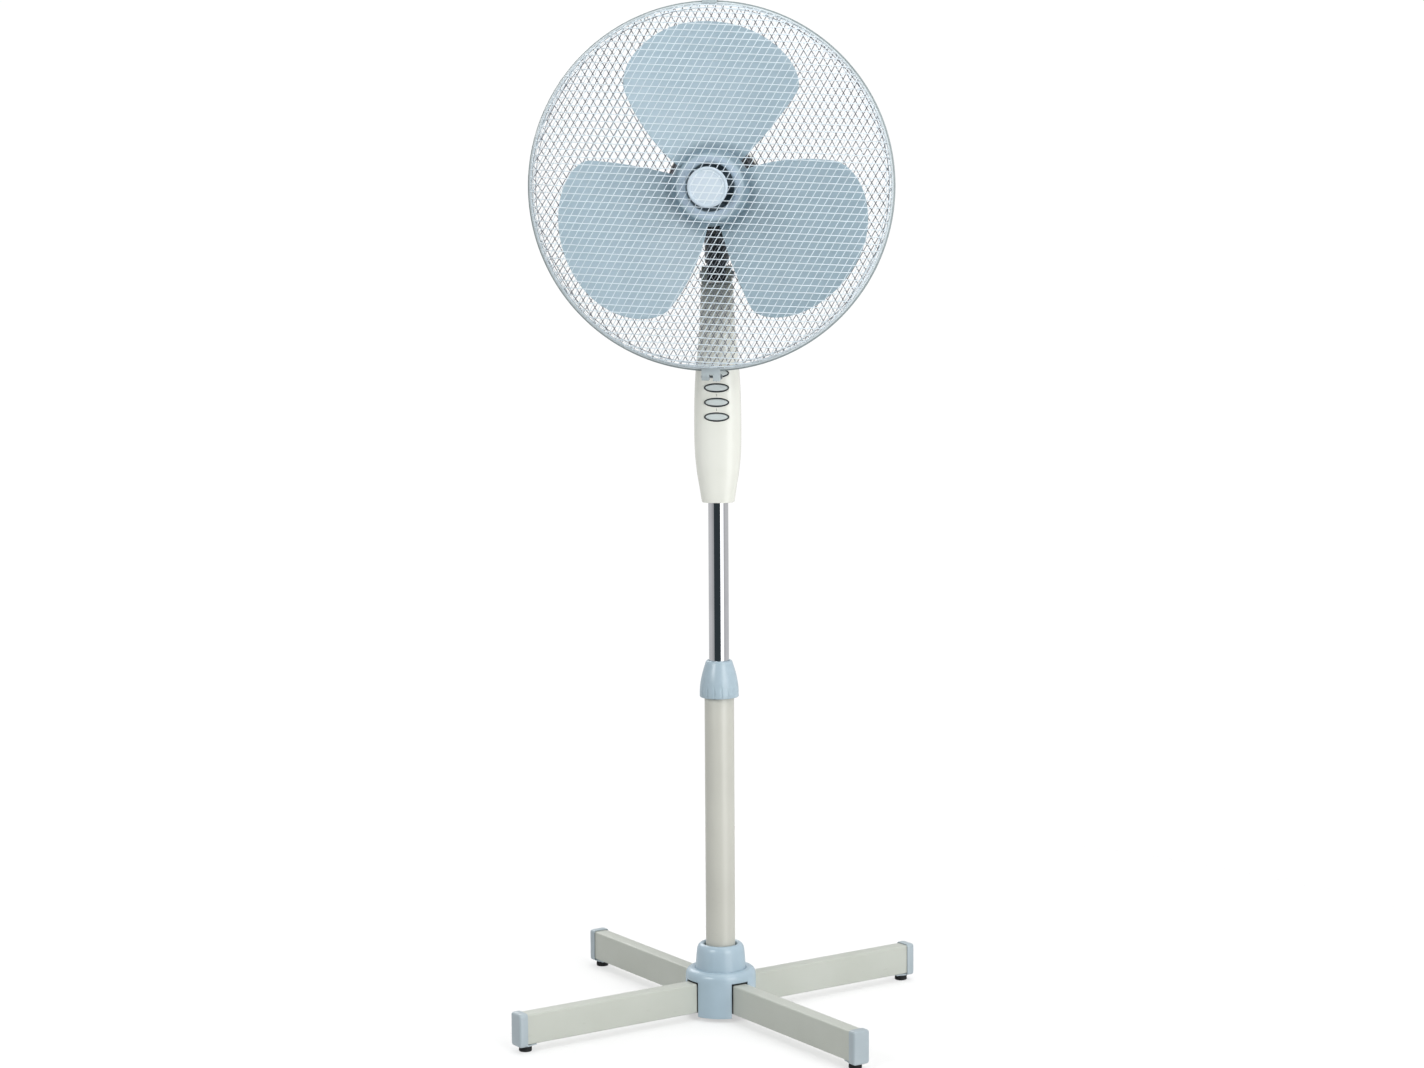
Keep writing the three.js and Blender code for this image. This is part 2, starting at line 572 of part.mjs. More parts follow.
function oscillationKnob() {
  const profile = [[0, 1069], [3.6, 1069], [3.6, 1098.6], [7.4, 1098.6], [7.4, 1108], [6.4, 1110.6],
    [0, 1111.4]];
  return moved(turnedZ(profile, 20), ...WHEEL_AXIS, 0);
}

add("motor_front_shell", motorFrontShell(), MATERIAL.dark);
add("motor_rear_shell", motorRearShell(), MATERIAL.cream);
add("rear_shell_screw", rearShellScrew(), MATERIAL.steel);
add("stator", stator(), MATERIAL.copper);
add("rotor", rotor(), MATERIAL.steel);
add("motor_shaft", motorShaft(), MATERIAL.steel);
add("front_bearing", frontBearing(), MATERIAL.brass);
add("rear_bearing", rearBearing(), MATERIAL.brass);
add("gear_case", gearCase(), MATERIAL.steel);
add("worm_wheel", wormWheel(), MATERIAL.inner);
add("crank_gear", crankGear(), MATERIAL.inner);
add("oscillation_knob", oscillationKnob(), MATERIAL.cream);

// ---------------------------------------------------------------- guards
const MESH_EDGE = RIM_RADIUS - RIM_THICK + MESH_SKIN;
const FRONT_DEPTH = 59; // from the rims' plane to the middle of the front dome
const REAR_DEPTH = 43;

// One half of the cage: a thin domed sheet welded to its rim. side is -1 for the front, 1 for the rear.
function guard(side, depth, innerRadius) {
  const radii = [213.5, 209, 199, 180, 140, 90, 40, innerRadius];
  const dome = radii.map((r) => [r, RIM_Y + side * depth * (1 - (r / MESH_EDGE) ** 3.8) ** (1 / 3)]);
  const sheet = sheetProfile([[MESH_EDGE, RIM_Y + side * 2], ...dome], side * MESH_SKIN);
  const [inner, outer] = [RIM_RADIUS - RIM_THICK, RIM_RADIUS];
  const [near, far] = [RIM_Y + side * GAP, RIM_Y + side * RIM_DEPTH];
  const rim = [[inner, near], [outer - 1, near], [outer, near + side * 1.6], [outer, far - side * 1.6],
    [outer - 1, far], [inner, far]];
  return head(join(turnedY(sheet, 32), turnedY(rim, 32)));
}

function guardBadge() {
  const profile = [[0, BADGE_Y], [BADGE_RADIUS, BADGE_Y], [BADGE_RADIUS, BADGE_Y - 4], [22, BADGE_Y - 6.4],
    [0, BADGE_Y - 6.4]];
  return head(turnedY(profile, 28));
}

const badgePlate = () =>
  head(turnedY([[0, -163.2], [20, -163.2], [20, -161.2], [3, -161.2], [3, -158], [0, -158]], 24));

// The ribbed nut that holds the rear guard against the motor.
const guardNut = () =>
  head(turnedY([[20, -63], [33, -63], [33, -70], [30, -72.4], [20, -72.4]], 24));

// The clip under the rims: two lugs joined by a saddle that hooks over both rims.
const RIM_LOW = HEAD_Z - RIM_RADIUS;
function guardClip() {
  const [front, back] = [RIM_Y - RIM_DEPTH - GAP, RIM_Y + RIM_DEPTH + GAP];
  const saddle = box(-12, 10.5, front - 2, back + 2, RIM_LOW - 3.2, RIM_LOW + 4);
  const rims = head(turnedY(band(RIM_RADIUS + GAP, RIM_RADIUS - 30, front, back), 48));
  const lugs = join(box(-12, -2.8, front - 2, back + 2, RIM_LOW - 10.5, RIM_LOW - 2),
    box(1.6, 10.5, front - 2, back + 2, RIM_LOW - 11.5, RIM_LOW - 2));
  return cut(join(saddle, lugs), rims, rodX(1.9, -30, 30, RIM_Y, RIM_LOW - 6.6, 12));
}

const clipScrew = () =>
  join(rodX(1.6, -13, 12, RIM_Y, RIM_LOW - 6.6, 12), rodX(3, 10.8, 12.8, RIM_Y, RIM_LOW - 6.6, 12));

function guardHook() {
  const [front, back] = [RIM_Y - RIM_DEPTH - GAP, RIM_Y + RIM_DEPTH + GAP];
  const top = HEAD_Z + RIM_RADIUS;
  const rims = head(turnedY(band(RIM_RADIUS + GAP, RIM_RADIUS - RIM_THICK - 1, front, back), 48));
  return cut(box(-9, 9, front - 1.5, back + 1.5, top - 4, top + 1.6), rims);
}

add("rear_guard", guard(1, REAR_DEPTH, 20.4), MATERIAL.wire);
add("front_guard", guard(-1, FRONT_DEPTH, 8), MATERIAL.wire);
add("guard_nut", guardNut(), MATERIAL.dark);
add("guard_badge", guardBadge(), MATERIAL.badge);
add("badge_plate", badgePlate(), MATERIAL.badge);
add("guard_clip", guardClip(), MATERIAL.paleBlue);
add("guard_clip_screw", clipScrew(), MATERIAL.steel);
add("guard_hook", guardHook(), MATERIAL.paleBlue);

// ---------------------------------------------------------------- impeller
// Outline and pitch of a blade that points up. across runs 0 to 1 from its leading to its trailing edge,
// along 0 to 1 from the hub to the tip. The tip swells to its full radius a little past the middle.
const TIP_PEAK = 0.6;
function bladePoint(across, along) {
  const offset = across < TIP_PEAK ? (across - TIP_PEAK) / TIP_PEAK : (across - TIP_PEAK) / (1 - TIP_PEAK);
  const tip = BLADE_CORNER + (BLADE_TIP - BLADE_CORNER) * Math.sqrt(Math.max(1 - offset * offset, 0));
  const radius = HUB_RADIUS - 4 + (tip - HUB_RADIUS + 4) * along;
  const leading = 42 + (radius - 50) * 0.055;
  const trailing = 146 - (radius - 45) * 0.137;
  const angle = (leading + (trailing - leading) * across) * RAD;
  const pitch = 38 + (radius - HUB_RADIUS) * 0.1; // depth from edge to edge
  const camber = 5 * (1 - (2 * across - 1) ** 2);
  const y = BLADE_Y + pitch * (0.5 - across) + camber;
  return [radius * Math.cos(angle), y, radius * Math.sin(angle)];
}

function blade() {
  const [acrossSteps, alongSteps] = [8, 4];
  const rings = Array.from({ length: alongSteps + 1 }, (_, j) => {
    const side = (shift) =>
      Array.from({ length: acrossSteps + 1 }, (_, i) => {
        const [x, y, z] = bladePoint((1 - Math.cos((Math.PI * i) / acrossSteps)) / 2, j / alongSteps);
        return [x, y + shift, z];
      });
    return [...side(-BLADE_THICK / 2), ...side(BLADE_THICK / 2).reverse()];
  });
  return skinned(rings);
}

function impeller() {
  const bore = SHAFT_RADIUS + 0.15;
  const profile = [[HUB_RADIUS, HUB_BACK], [HUB_RADIUS, -114], [43, -123], [36, -126], [30, -125], [27.6, -117],
    [bore, -115], [bore, -92], [9, -92], [9, -112], [40, -116], [44.5, -110], [44.5, HUB_BACK]];
  const hub = turnedY(profile, 24);
  const core = turnedY(disc(HUB_RADIUS - 1.2, -136, HUB_BACK + 4), 24);
  const blades = Array.from({ length: BLADES }, (_, i) =>
    cut(blade(), core).rotate([0, (360 / BLADES) * i, 0]));
  return head(join(hub, ...blades));
}

const bladeNut = () =>
  head(turnedY([[0, -130], [10, -129.6], [13, -127], [14, -119], [13, -116.8], [SHAFT_RADIUS + 0.15, -116.8],
    [SHAFT_RADIUS + 0.15, -126.5], [0, -126.5]], 20));

add("impeller", impeller(), MATERIAL.blade);
add("blade_nut", bladeNut(), MATERIAL.paleBlue);

export default fan;
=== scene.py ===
# Pedestal fan: the looks of the crossed base, the telescoping column, the control housing with its
# push buttons, and the oscillating head with its impeller inside two wire guards.
import json
import math

import bmesh
import bpy
from mathutils import Matrix, Vector


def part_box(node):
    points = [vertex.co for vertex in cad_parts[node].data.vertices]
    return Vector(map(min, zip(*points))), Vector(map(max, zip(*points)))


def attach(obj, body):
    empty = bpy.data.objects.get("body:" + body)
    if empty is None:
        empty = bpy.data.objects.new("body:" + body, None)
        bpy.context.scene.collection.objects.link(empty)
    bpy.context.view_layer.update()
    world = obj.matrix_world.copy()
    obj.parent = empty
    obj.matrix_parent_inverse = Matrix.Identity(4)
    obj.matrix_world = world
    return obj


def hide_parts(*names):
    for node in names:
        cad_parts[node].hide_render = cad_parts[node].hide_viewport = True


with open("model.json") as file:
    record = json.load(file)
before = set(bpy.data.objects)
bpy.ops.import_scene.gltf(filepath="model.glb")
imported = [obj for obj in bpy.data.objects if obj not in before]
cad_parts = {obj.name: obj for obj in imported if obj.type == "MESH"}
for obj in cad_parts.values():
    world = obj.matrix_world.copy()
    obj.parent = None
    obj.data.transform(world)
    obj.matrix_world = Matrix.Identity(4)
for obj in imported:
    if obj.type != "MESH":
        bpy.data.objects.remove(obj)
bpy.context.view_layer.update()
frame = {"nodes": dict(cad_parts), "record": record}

MM = 0.001
GAP = 0.3  # clear space between neighbouring pieces, mm
MERGE = 0.002 * MM  # points nearer than this become one


def box_of(node):
    """A CAD node's lowest and highest corners, in millimetres."""
    low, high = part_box(node)
    return low / MM, high / MM


HEAD_Z = sum(corner.z for corner in box_of("guard_nut")) / 2  # height of the motor's axis, mm


# ---------------------------------------------------------------- modelling by hand
AXES = {"X": Vector((1, 0, 0)), "Y": Vector((0, 1, 0)), "Z": Vector((0, 0, 1))}
FACING = {"X": (0, math.pi / 2, 0), "Y": (math.pi / 2, 0, 0), "Z": (0, 0, 0)}


def only(piece):
    """Makes one object the active one and the only one that is selected."""
    bpy.ops.object.select_all(action="DESELECT")
    piece.select_set(True)
    bpy.context.view_layer.objects.active = piece
    return piece


def start(kind, **settings):
    """Adds a primitive with nothing else selected."""
    bpy.ops.object.select_all(action="DESELECT")
    getattr(bpy.ops.mesh, f"primitive_{kind}_add")(**settings)
    return bpy.context.object


def settle(piece):
    """Puts the piece's place, turn and size into its mesh."""
    only(piece)
    bpy.ops.object.transform_apply(location=True, rotation=True, scale=True)
    return piece


def pick(kind, test):
    """In edit mode, selects only the faces or edges whose centre (mm) and direction pass the test."""
    bpy.ops.mesh.select_mode(type="FACE" if kind == "faces" else "EDGE")
    bpy.ops.mesh.select_all(action="DESELECT")
    data = bpy.context.object.data
    work = bmesh.from_edit_mesh(data)
    for element in getattr(work, kind):
        if kind == "faces":
            centre, direction = element.calc_center_median(), element.normal
        else:
            first, second = (vertex.co for vertex in element.verts)
            centre, direction = (first + second) / 2, (second - first).normalized()
        element.select_set(bool(test(centre / MM, direction)))
    work.select_flush_mode()
    bmesh.update_edit_mesh(data)


def modify(piece, kind, **settings):
    """Adds a modifier and applies it."""
    only(piece)
    modifier = piece.modifiers.new(kind.title(), kind)
    for key, value in settings.items():
        setattr(modifier, key, value)
    bpy.ops.object.modifier_apply(modifier=modifier.name)
    return piece


def carve(piece, *cutters, operation="DIFFERENCE"):
    """Cuts the cutters out of the piece, or joins them to it, and removes them."""
    for cutter in cutters:
        modify(piece, "BOOLEAN", operation=operation, solver="MANIFOLD", object=cutter)
        bpy.data.objects.remove(cutter)
    return piece


def round_edges(piece, width, segments=2, angle=40):
    """Bevels the edges that turn by more than the angle, to a width in millimetres."""
    return modify(piece, "BEVEL", width=width * MM, segments=segments, limit_method="ANGLE",
                  angle_limit=math.radians(angle), miter_outer="MITER_ARC")


def turn(piece, degrees, axis="Z", about=(0, 0, 0)):
    """Turns the piece about an axis through a point, in millimetres."""
    centre = Vector(about) * MM
    spin = Matrix.Rotation(math.radians(degrees), 4, axis)
    about_point = Matrix.Translation(centre) @ spin @ Matrix.Translation(-centre)
    piece.matrix_world = about_point @ piece.matrix_world
    return settle(piece)


def shift(piece, x, y, z):
    """Moves the piece, in millimetres."""
    piece.location = piece.location + Vector((x, y, z)) * MM
    return settle(piece)


def weld(piece):
    """Merges the points that lie on each other."""
    only(piece)
    bpy.ops.object.mode_set(mode="EDIT")
    bpy.ops.mesh.select_all(action="SELECT")
    bpy.ops.mesh.remove_doubles(threshold=MERGE)
    bpy.ops.object.mode_set(mode="OBJECT")
    return piece


def twin(piece, name=""):
    """A copy of the piece with its own mesh."""
    copy = piece.copy()
    copy.data = piece.data.copy()
    copy.name = name or piece.name
    bpy.context.scene.collection.objects.link(copy)
    return copy


def block(low, high, edge=0.0, segments=2):
    """A box between two corners, its edges rounded."""
    low, high = Vector(low), Vector(high)
    piece = settle(start("cube", size=1, location=(low + high) / 2 * MM, scale=(high - low) * MM))
    return round_edges(piece, edge, segments) if edge else piece


def fitted(half, previous):
    """The factor from one ring's half width to the next one's."""
    return half / previous if previous else 1


def turned(rings, axis="Z", centre=(0, 0), sides=64, loop=False, power=2.0):
    """A circle drawn out along an axis, and scaled at each ring.

    A ring is (radius, place) or (half width, half depth, place), in millimetres, and a ring of no radius
    closes to a point. loop closes the last ring on the first, as for a tube. power over 2 squares the ring.
    """
    rings = [ring if len(ring) == 3 else (ring[0], *ring) for ring in rings]
    number = "XYZ".index(axis)
    across = [i for i in range(3) if i != number]
    along = AXES[axis]
    middle = Vector((0, 0, 0))
    for i, value in zip(across, centre):
        middle[i] = value
    wide, deep, place = rings[0]
    piece = settle(start("circle", vertices=sides, radius=1, fill_type="NOTHING" if loop else "NGON",
                         rotation=FACING[axis]))
    bpy.ops.object.mode_set(mode="EDIT")
    bpy.ops.mesh.select_mode(type="VERT")
    bpy.ops.mesh.select_all(action="SELECT")
    squared(piece, power, across, sides)

    def resize(factors):
        value = [1, 1, 1]
        value[across[0]], value[across[1]] = factors
        bpy.ops.transform.resize(value=value, center_override=(middle + along * place) * MM)

    bpy.ops.transform.translate(value=(middle + along * place) * MM)
    resize((wide * MM, deep * MM))
    for next_wide, next_deep, next_place in [*rings[1:], *(rings[:1] if loop else [])]:
        step = along * (next_place - place) * MM
        bpy.ops.mesh.extrude_region_move(TRANSFORM_OT_translate={"value": step})
        place = next_place
        if next_wide:
            resize((fitted(next_wide, wide), fitted(next_deep, deep)))
        else:
            bpy.ops.mesh.merge(type="CENTER")
        wide, deep = next_wide, next_deep
    bpy.ops.mesh.select_all(action="SELECT")
    bpy.ops.mesh.remove_doubles(threshold=MERGE)
    bpy.ops.mesh.normals_make_consistent(inside=False)
    bpy.ops.object.mode_set(mode="OBJECT")
    return piece


def squared(piece, power, across, sides):
    """Swells a unit circle's corners into the oval of that power, by resizing four points at a time."""
    if power == 2:
        return
    work = bmesh.from_edit_mesh(piece.data)
    for k in range(1, sides // 4):
        cosine, sine = math.cos(2 * math.pi * k / sides), math.sin(2 * math.pi * k / sides)
        swell = (cosine ** power + sine ** power) ** (-1 / power)
        for vertex in work.verts:
            near = abs(abs(vertex.co[across[0]]) - cosine) + abs(abs(vertex.co[across[1]]) - sine) < 1e-4
            vertex.select_set(near)
        bmesh.update_edit_mesh(piece.data)
        value = [1, 1, 1]
        value[across[0]] = value[across[1]] = swell
        bpy.ops.transform.resize(value=value, center_override=(0, 0, 0))
    bpy.ops.mesh.select_all(action="SELECT")


def around(centre, radius, count):
    """Evenly spaced places on a circle."""
    for i in range(count):
        angle = math.tau * i / count
        yield centre[0] + radius * math.cos(angle), centre[1] + radius * math.sin(angle)


def finish(piece, name, finish_of, body, *nodes, smooth=35):
    """Names and shades a piece, gives it its finish, and hands it to its body in place of its CAD nodes."""
    only(piece)
    bpy.ops.object.shade_smooth_by_angle(angle=math.radians(smooth))
    piece.name = piece.data.name = f"detailed_{name}" if name in frame["nodes"] else name
    piece.data.materials.clear()
    piece.data.materials.append(FINISHES[finish_of].material)
    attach(piece, body)
    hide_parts(*nodes)
    return piece


# ---------------------------------------------------------------- finishes
def paint(red, green, blue):
    """A colour given as 0 to 255 screen values, as the shader's own linear numbers."""
    shares = [value / 255 for value in (red, green, blue)]
    linear = [share / 12.92 if share < 0.04 else ((share + 0.055) / 1.055) ** 2.4 for share in shares]
    return (*linear, 1.0)


class Number:
    """A shader value. Each operator that is used on it adds its Math node."""

    def __init__(self, maker, socket):
        self.maker, self.socket = maker, socket

    def math(self, operation, *values):
        """The result of a Math node."""
        return self.maker.node("ShaderNodeMath", {"operation": operation}, dict(enumerate(values)))

    def __add__(self, other):
        return self.math("ADD", self, other)

    def __radd__(self, other):
        return self.math("ADD", other, self)

    def __sub__(self, other):
        return self.math("SUBTRACT", self, other)

    def __rsub__(self, other):
        return self.math("SUBTRACT", other, self)

    def __mul__(self, other):
        return self.math("MULTIPLY", self, other)

    def __rmul__(self, other):
        return self.math("MULTIPLY", other, self)

    def above(self, low, high):
        """0 below low, 1 above high, and smooth between them."""
        return self.maker.node("ShaderNodeMapRange", {"interpolation_type": "SMOOTHSTEP"},
                               {"Value": self, "From Min": low, "From Max": high})

    def between(self, start, full, fade, end):
        """0 below start and above end, 1 from full to fade, and smooth between them."""
        return self.above(start, full) * (1 - self.above(fade, end))


class Maker:
    """A node tree that is built by calls."""

    def __init__(self, tree):
        self.tree = tree

    def node(self, kind, settings=None, inputs=None, output=0):
        """Adds a node, with its settings and its inputs as values or sockets, and returns one output."""
        made = self.tree.nodes.new(kind)
        for key, value in (settings or {}).items():
            setattr(made, key, value)
        for key, value in (inputs or {}).items():
            if isinstance(value, Number):
                self.tree.links.new(value.socket, made.inputs[key])
            else:
                made.inputs[key].default_value = value
        return Number(self, made.outputs[output])

    def vector(self, operation, *values, output="Vector"):
        return self.node("ShaderNodeVectorMath", {"operation": operation}, dict(enumerate(values)), output)

    def place(self):
        """The shaded point, in the piece's own coordinates and in metres."""
        return self.node("ShaderNodeTexCoord", output="Object")

    def height(self):
        return self.node("ShaderNodeSeparateXYZ", {}, {"Vector": self.place()}, output="Z")

    def noise(self, scale, detail=2.0, stretch=(1, 1, 1)):
        """Cloudy noise, about 0 to 1. scale is in patterns per metre."""
        mapped = self.node("ShaderNodeMapping", {}, {"Vector": self.place(), "Scale": stretch})
        return self.node("ShaderNodeTexNoise", {}, {"Vector": mapped, "Scale": scale, "Detail": detail})

    def clouds(self):
        """Broad, faint clouds in moulded plastic, 0 to 1."""
        return self.noise(22, 3).above(0.3, 0.7)

    def mix(self, factor, first, second):
        return self.node("ShaderNodeMix", {"data_type": "RGBA"}, {0: factor, 6: first, 7: second}, output=2)


class Finish(Maker):
    """A material: a shader with fixed settings, and what changes over the surface."""

    def __init__(self, name, **constants):
        self.material = bpy.data.materials.new(name)
        self.material.use_nodes = True
        super().__init__(self.material.node_tree)
        self.shader = self.tree.nodes["Principled BSDF"]
        for socket, value in constants.items():
            self.shader.inputs[socket.replace("_", " ")].default_value = value

    def feed(self, **links):
        """Links sockets to the shader's inputs of those names."""
        for socket, value in links.items():
            self.tree.links.new(value.socket, self.shader.inputs[socket.replace("_", " ")])
        return self

    def relief(self, pattern, depth, strength=1.0):
        """Raises the pattern by depth, in metres."""
        bump = self.node("ShaderNodeBump", {}, {"Strength": strength, "Distance": depth, "Height": pattern})
        return self.feed(Normal=bump)


def shade_of(colour, factor):
    """The colour made lighter or darker."""
    return (*(value * factor for value in colour[:3]), 1.0)


def plastic(name, roughness, grain=0.00002):
    """Moulded plastic still without its colour: a fine eroded grain, and flow marks in the gloss."""
    made = Finish(name, Specular_IOR_Level=0.5)
    fine = made.noise(2600, 2)
    made.feed(Roughness=roughness - 0.06 + 0.08 * made.noise(60, 2) + 0.06 * fine)
    return made.relief(fine, grain, 0.35)


def moulded(name, colour, roughness, grain=0.00002):
    """Moulded plastic of one cloudy colour."""
    made = plastic(name, roughness, grain)
    return made.feed(Base_Color=made.mix(made.clouds(), shade_of(colour, 0.965), shade_of(colour, 1.03)))


def enamel(name, roughness):
    """Stove enamel still without its colour: orange peel, and a duller, scuffed lower part.

    Its clouds, its scuffs and their lower part come with it, for the colour.
    """
    made = Finish(name, Specular_IOR_Level=0.5)
    peel, cloud = made.noise(420, 2), made.noise(9, 3)
    scuff = made.noise(85, 6, (1, 1, 3)).above(0.62, 0.74)
    worn = scuff * (1 - made.height().above(0.02, 0.35))
    made.feed(Roughness=roughness + 0.05 * cloud + 0.16 * worn)
    return made.relief(peel, 0.00005, 0.3), cloud.above(0.3, 0.7), scuff, worn


def painted(name, colour, roughness):
    """Enamelled steel of one colour, slightly cloudy and darker where it is scuffed."""
    made, cloud, _, worn = enamel(name, roughness)
    tone = made.mix(cloud, shade_of(colour, 0.955), shade_of(colour, 1.035))
    return made.feed(Base_Color=made.mix(worn * 0.22, tone, shade_of(colour, 0.72)))


def plated(name, colour, roughness, grain=0.00001):
    """Plated or turned metal, with fine draw marks along its height."""
    made = Finish(name, Metallic=1.0)
    draw, spots = made.noise(1400, 2, (1, 1, 0.01)), made.noise(34, 4)
    made.feed(Base_Color=made.mix(spots.above(0.35, 0.75), colour, shade_of(colour, 0.93)),
              Roughness=roughness + 0.05 * draw + 0.05 * spots.above(0.5, 0.8))
    return made.relief(draw, grain, 0.2)


def cast(name, colour, roughness, metallic, grain):
    """A rough cast, sintered or wound surface."""
    made = Finish(name, Metallic=metallic)
    lumps = made.noise(900, 5)
    made.feed(Base_Color=made.mix(lumps, shade_of(colour, 0.8), shade_of(colour, 1.12)),
              Roughness=roughness + 0.15 * made.noise(150, 3))
    return made.relief(lumps, grain, 0.6)


def rubbery(name, colour):
    """Moulded rubber: matt, with a faint pale dusting in patches."""
    made = Finish(name, Specular_IOR_Level=0.35)
    dust_and_painted_shade, grain = made.noise(140, 5), made.noise(1900, 3)
    made.feed(Base_Color=made.mix(dust_and_painted_shade.above(0.5, 0.8) * 0.35, colour, shade_of(colour, 2.6)),
              Roughness=0.62 + 0.2 * dust_and_painted_shade)
    return made.relief(grain, 0.00006, 0.5)


def shaded_cream():
    """Cream plastic, with painted shadow of the motor head from the fork down to the housing's shoulders.
    """
    made = plastic("cream_plastic", 0.2)
    base_tone = made.mix(made.clouds(), paint(230, 231, 222), paint(235, 236, 228))
    # painted shadow: darker olive from below the fork down to the housing's shoulders, where the head
    # shades the column
    painted_shadow = made.height().between(0.855, 0.955, 0.97, 0.98)
    return made.feed(Base_Color=made.mix(painted_shadow * 0.86, base_tone, paint(96, 103, 90)))


def from_axis(made):
    """The shaded point's place from the motor's axis, as a flat vector and as a distance in metres."""
    centred = made.vector("SUBTRACT", made.place(), (0, 0, HEAD_Z * MM))
    flat = made.vector("MULTIPLY", centred, (1, 0, 1))
    return flat, made.vector("LENGTH", flat, output="Value")


def worn_blade():
    """Blade plastic: painted shade round the roots, a painted highlight on the hub's ridge, and painted
    shade in its well.
    """
    made = plastic("blade_plastic", 0.42)
    _, radius = from_axis(made)
    cloud = made.clouds()
    base_tone = made.mix(cloud, paint(169, 190, 201), paint(175, 195, 206))
    # painted shade round the blade roots, beside the hub's wall
    dust_and_painted_shade = radius.between(0.0385, 0.042, 0.046, 0.062)
    root_shaded = made.mix(dust_and_painted_shade * (0.5 + 0.25 * cloud), base_tone, paint(84, 112, 128))
    # painted highlight on the hub's front ridge
    ridge = radius.between(0.0292, 0.0302, 0.0355, 0.0385)
    ridge_highlighted = made.mix(ridge * 0.6, root_shaded, paint(188, 203, 221))
    # painted shade in the hub's well round the nut
    well = 1 - radius.above(0.0285, 0.0295)
    return made.feed(Base_Color=made.mix(well * 0.75, ridge_highlighted, paint(52, 62, 76)))


FRONT_MESH = {"level": (-3, 8.6), "slanted": (60, 8.2)}  # heading in degrees and pitch in mm


def meshed_badge():
    """Badge plastic whose face is moulded with the mesh's own pattern of fine ribs."""
    made = plastic("badge_plastic", 0.3)
    flat, radius = from_axis(made)
    ribs = None
    for heading, pitch in FRONT_MESH.values():
        angle = math.radians(heading)
        across = made.vector("DOT_PRODUCT", flat, (-math.sin(angle), 0, math.cos(angle)), output="Value")
        phase = across * (1 / (pitch * MM)) - 0.25
        rib = 1 - phase.math("PINGPONG", phase, 0.5).above(0.05, 0.11)
        ribs = rib if ribs is None else ribs.math("MAXIMUM", ribs, rib)
    ribs = ribs * (1 - radius.above(0.0200, 0.0204))
    made.feed(Base_Color=made.mix(ribs * 0.8, paint(199, 213, 224), paint(226, 235, 241)))
    return made.relief(ribs, 0.0003, 0.5)


def shut_in(made, radius, top):
    """1 inside the base cover, where little light comes, and 0 outside it. Both sizes are in metres."""
    distance = made.vector("LENGTH", made.vector("MULTIPLY", made.place(), (1, 1, 0)), output="Value")
    return (1 - distance.above(radius - 0.0006, radius)) * (1 - made.height().above(top, top + 0.001))


def greased_leg():
    """Enamelled legs, with painted shade where they cross inside the cover."""
    made, cloud, scuff, _ = enamel("leg_steel", 0.34)
    base_tone = made.mix(cloud, paint(186, 190, 181), paint(192, 196, 188))
    low_scuff = scuff * (1 - made.height().above(0.02, 0.03))
    marked = made.mix(low_scuff * 0.2, base_tone, paint(150, 152, 142))
    # painted shade: nearly black inside the base cover, where the legs cross
    return made.feed(Base_Color=made.mix(shut_in(made, 0.0444, 0.06) * 0.9, marked, paint(30, 32, 33)))


def cover_plastic():
    """Blue plastic with painted shade on its inside, for the cover on the crossing."""
    made = plastic("cover_plastic", 0.22)
    base_tone = made.mix(made.clouds(), paint(168, 188, 200), paint(172, 192, 205))
    # painted shade: nearly black on the faces inside the cover
    return made.feed(Base_Color=made.mix(shut_in(made, 0.0424, 0.0572) * 0.95, base_tone, paint(24, 28, 31)))


FINISHES = {
    "leg_steel": greased_leg(),
    "cover_plastic": cover_plastic(),
    "pole_steel": painted("pole_steel", paint(197, 197, 188), 0.3),
    "blue_plastic": moulded("blue_plastic", paint(172, 191, 202), 0.26),
    "cream_plastic": shaded_cream(),
    "button_plastic": moulded("button_plastic", paint(206, 214, 213), 0.3),
    "badge_plastic": meshed_badge(),
    "blade_plastic": worn_blade(),
    "wire": moulded("wire", paint(222, 233, 240), 0.34, 0.00001),
    "front_rim": moulded("front_rim", paint(200, 209, 213), 0.26, 0.00001),
    # painted shade: the rear rim is the guards' same paint, made darker
    "rear_rim": moulded("rear_rim", paint(146, 157, 159), 0.32, 0.00001),
    "cap_plastic": moulded("cap_plastic", paint(170, 182, 188), 0.3),
    "clip_plastic": moulded("clip_plastic", paint(182, 192, 195), 0.3),
    # painted shade: the rear wires are the front wires' paint, made darker
    "rear_wire": moulded("rear_wire", paint(132, 135, 143), 0.4, 0.00001),
    "dark_plastic": moulded("dark_plastic", paint(42, 48, 52), 0.42),
    "inner_plastic": moulded("inner_plastic", paint(226, 222, 206), 0.5),
    "rubber": rubbery("rubber", paint(24, 25, 26)),
    "chrome": plated("chrome", paint(226, 227, 231), 0.05),
    "steel": plated("steel", paint(176, 179, 182), 0.28, 0.00002),
    "bronze": cast("bronze", paint(178, 146, 92), 0.4, 1.0, 0.00003),
    "cast_zinc": cast("cast_zinc", paint(158, 160, 162), 0.42, 1.0, 0.00006),
    "winding": cast("winding", paint(142, 84, 52), 0.35, 0.6, 0.0001),
}
for subpart in frame["record"]["subparts"]:
    node = frame["nodes"][subpart["node"]]
    node.data.materials.clear()
    node.data.materials.append(FINISHES[subpart["material_slot"]].material)

# ---------------------------------------------------------------- stage, light and camera
CAMERA_TURN = math.radians(3.685)  # towards the fan's left, seen from above
CAMERA_DISTANCE = 3.67735
CAMERA_HEIGHT = 1.04508
CAMERA_YAW = math.radians(0.124)
CAMERA_PITCH = math.radians(6.7047)
CAMERA_ROLL = math.radians(-0.3245)
CAMERA_LENS = 75.16
SENSOR_WIDTH = 36
BACKDROP = 1.02  # the plain white behind the fan
FLOOR_RADIUS = 2.4


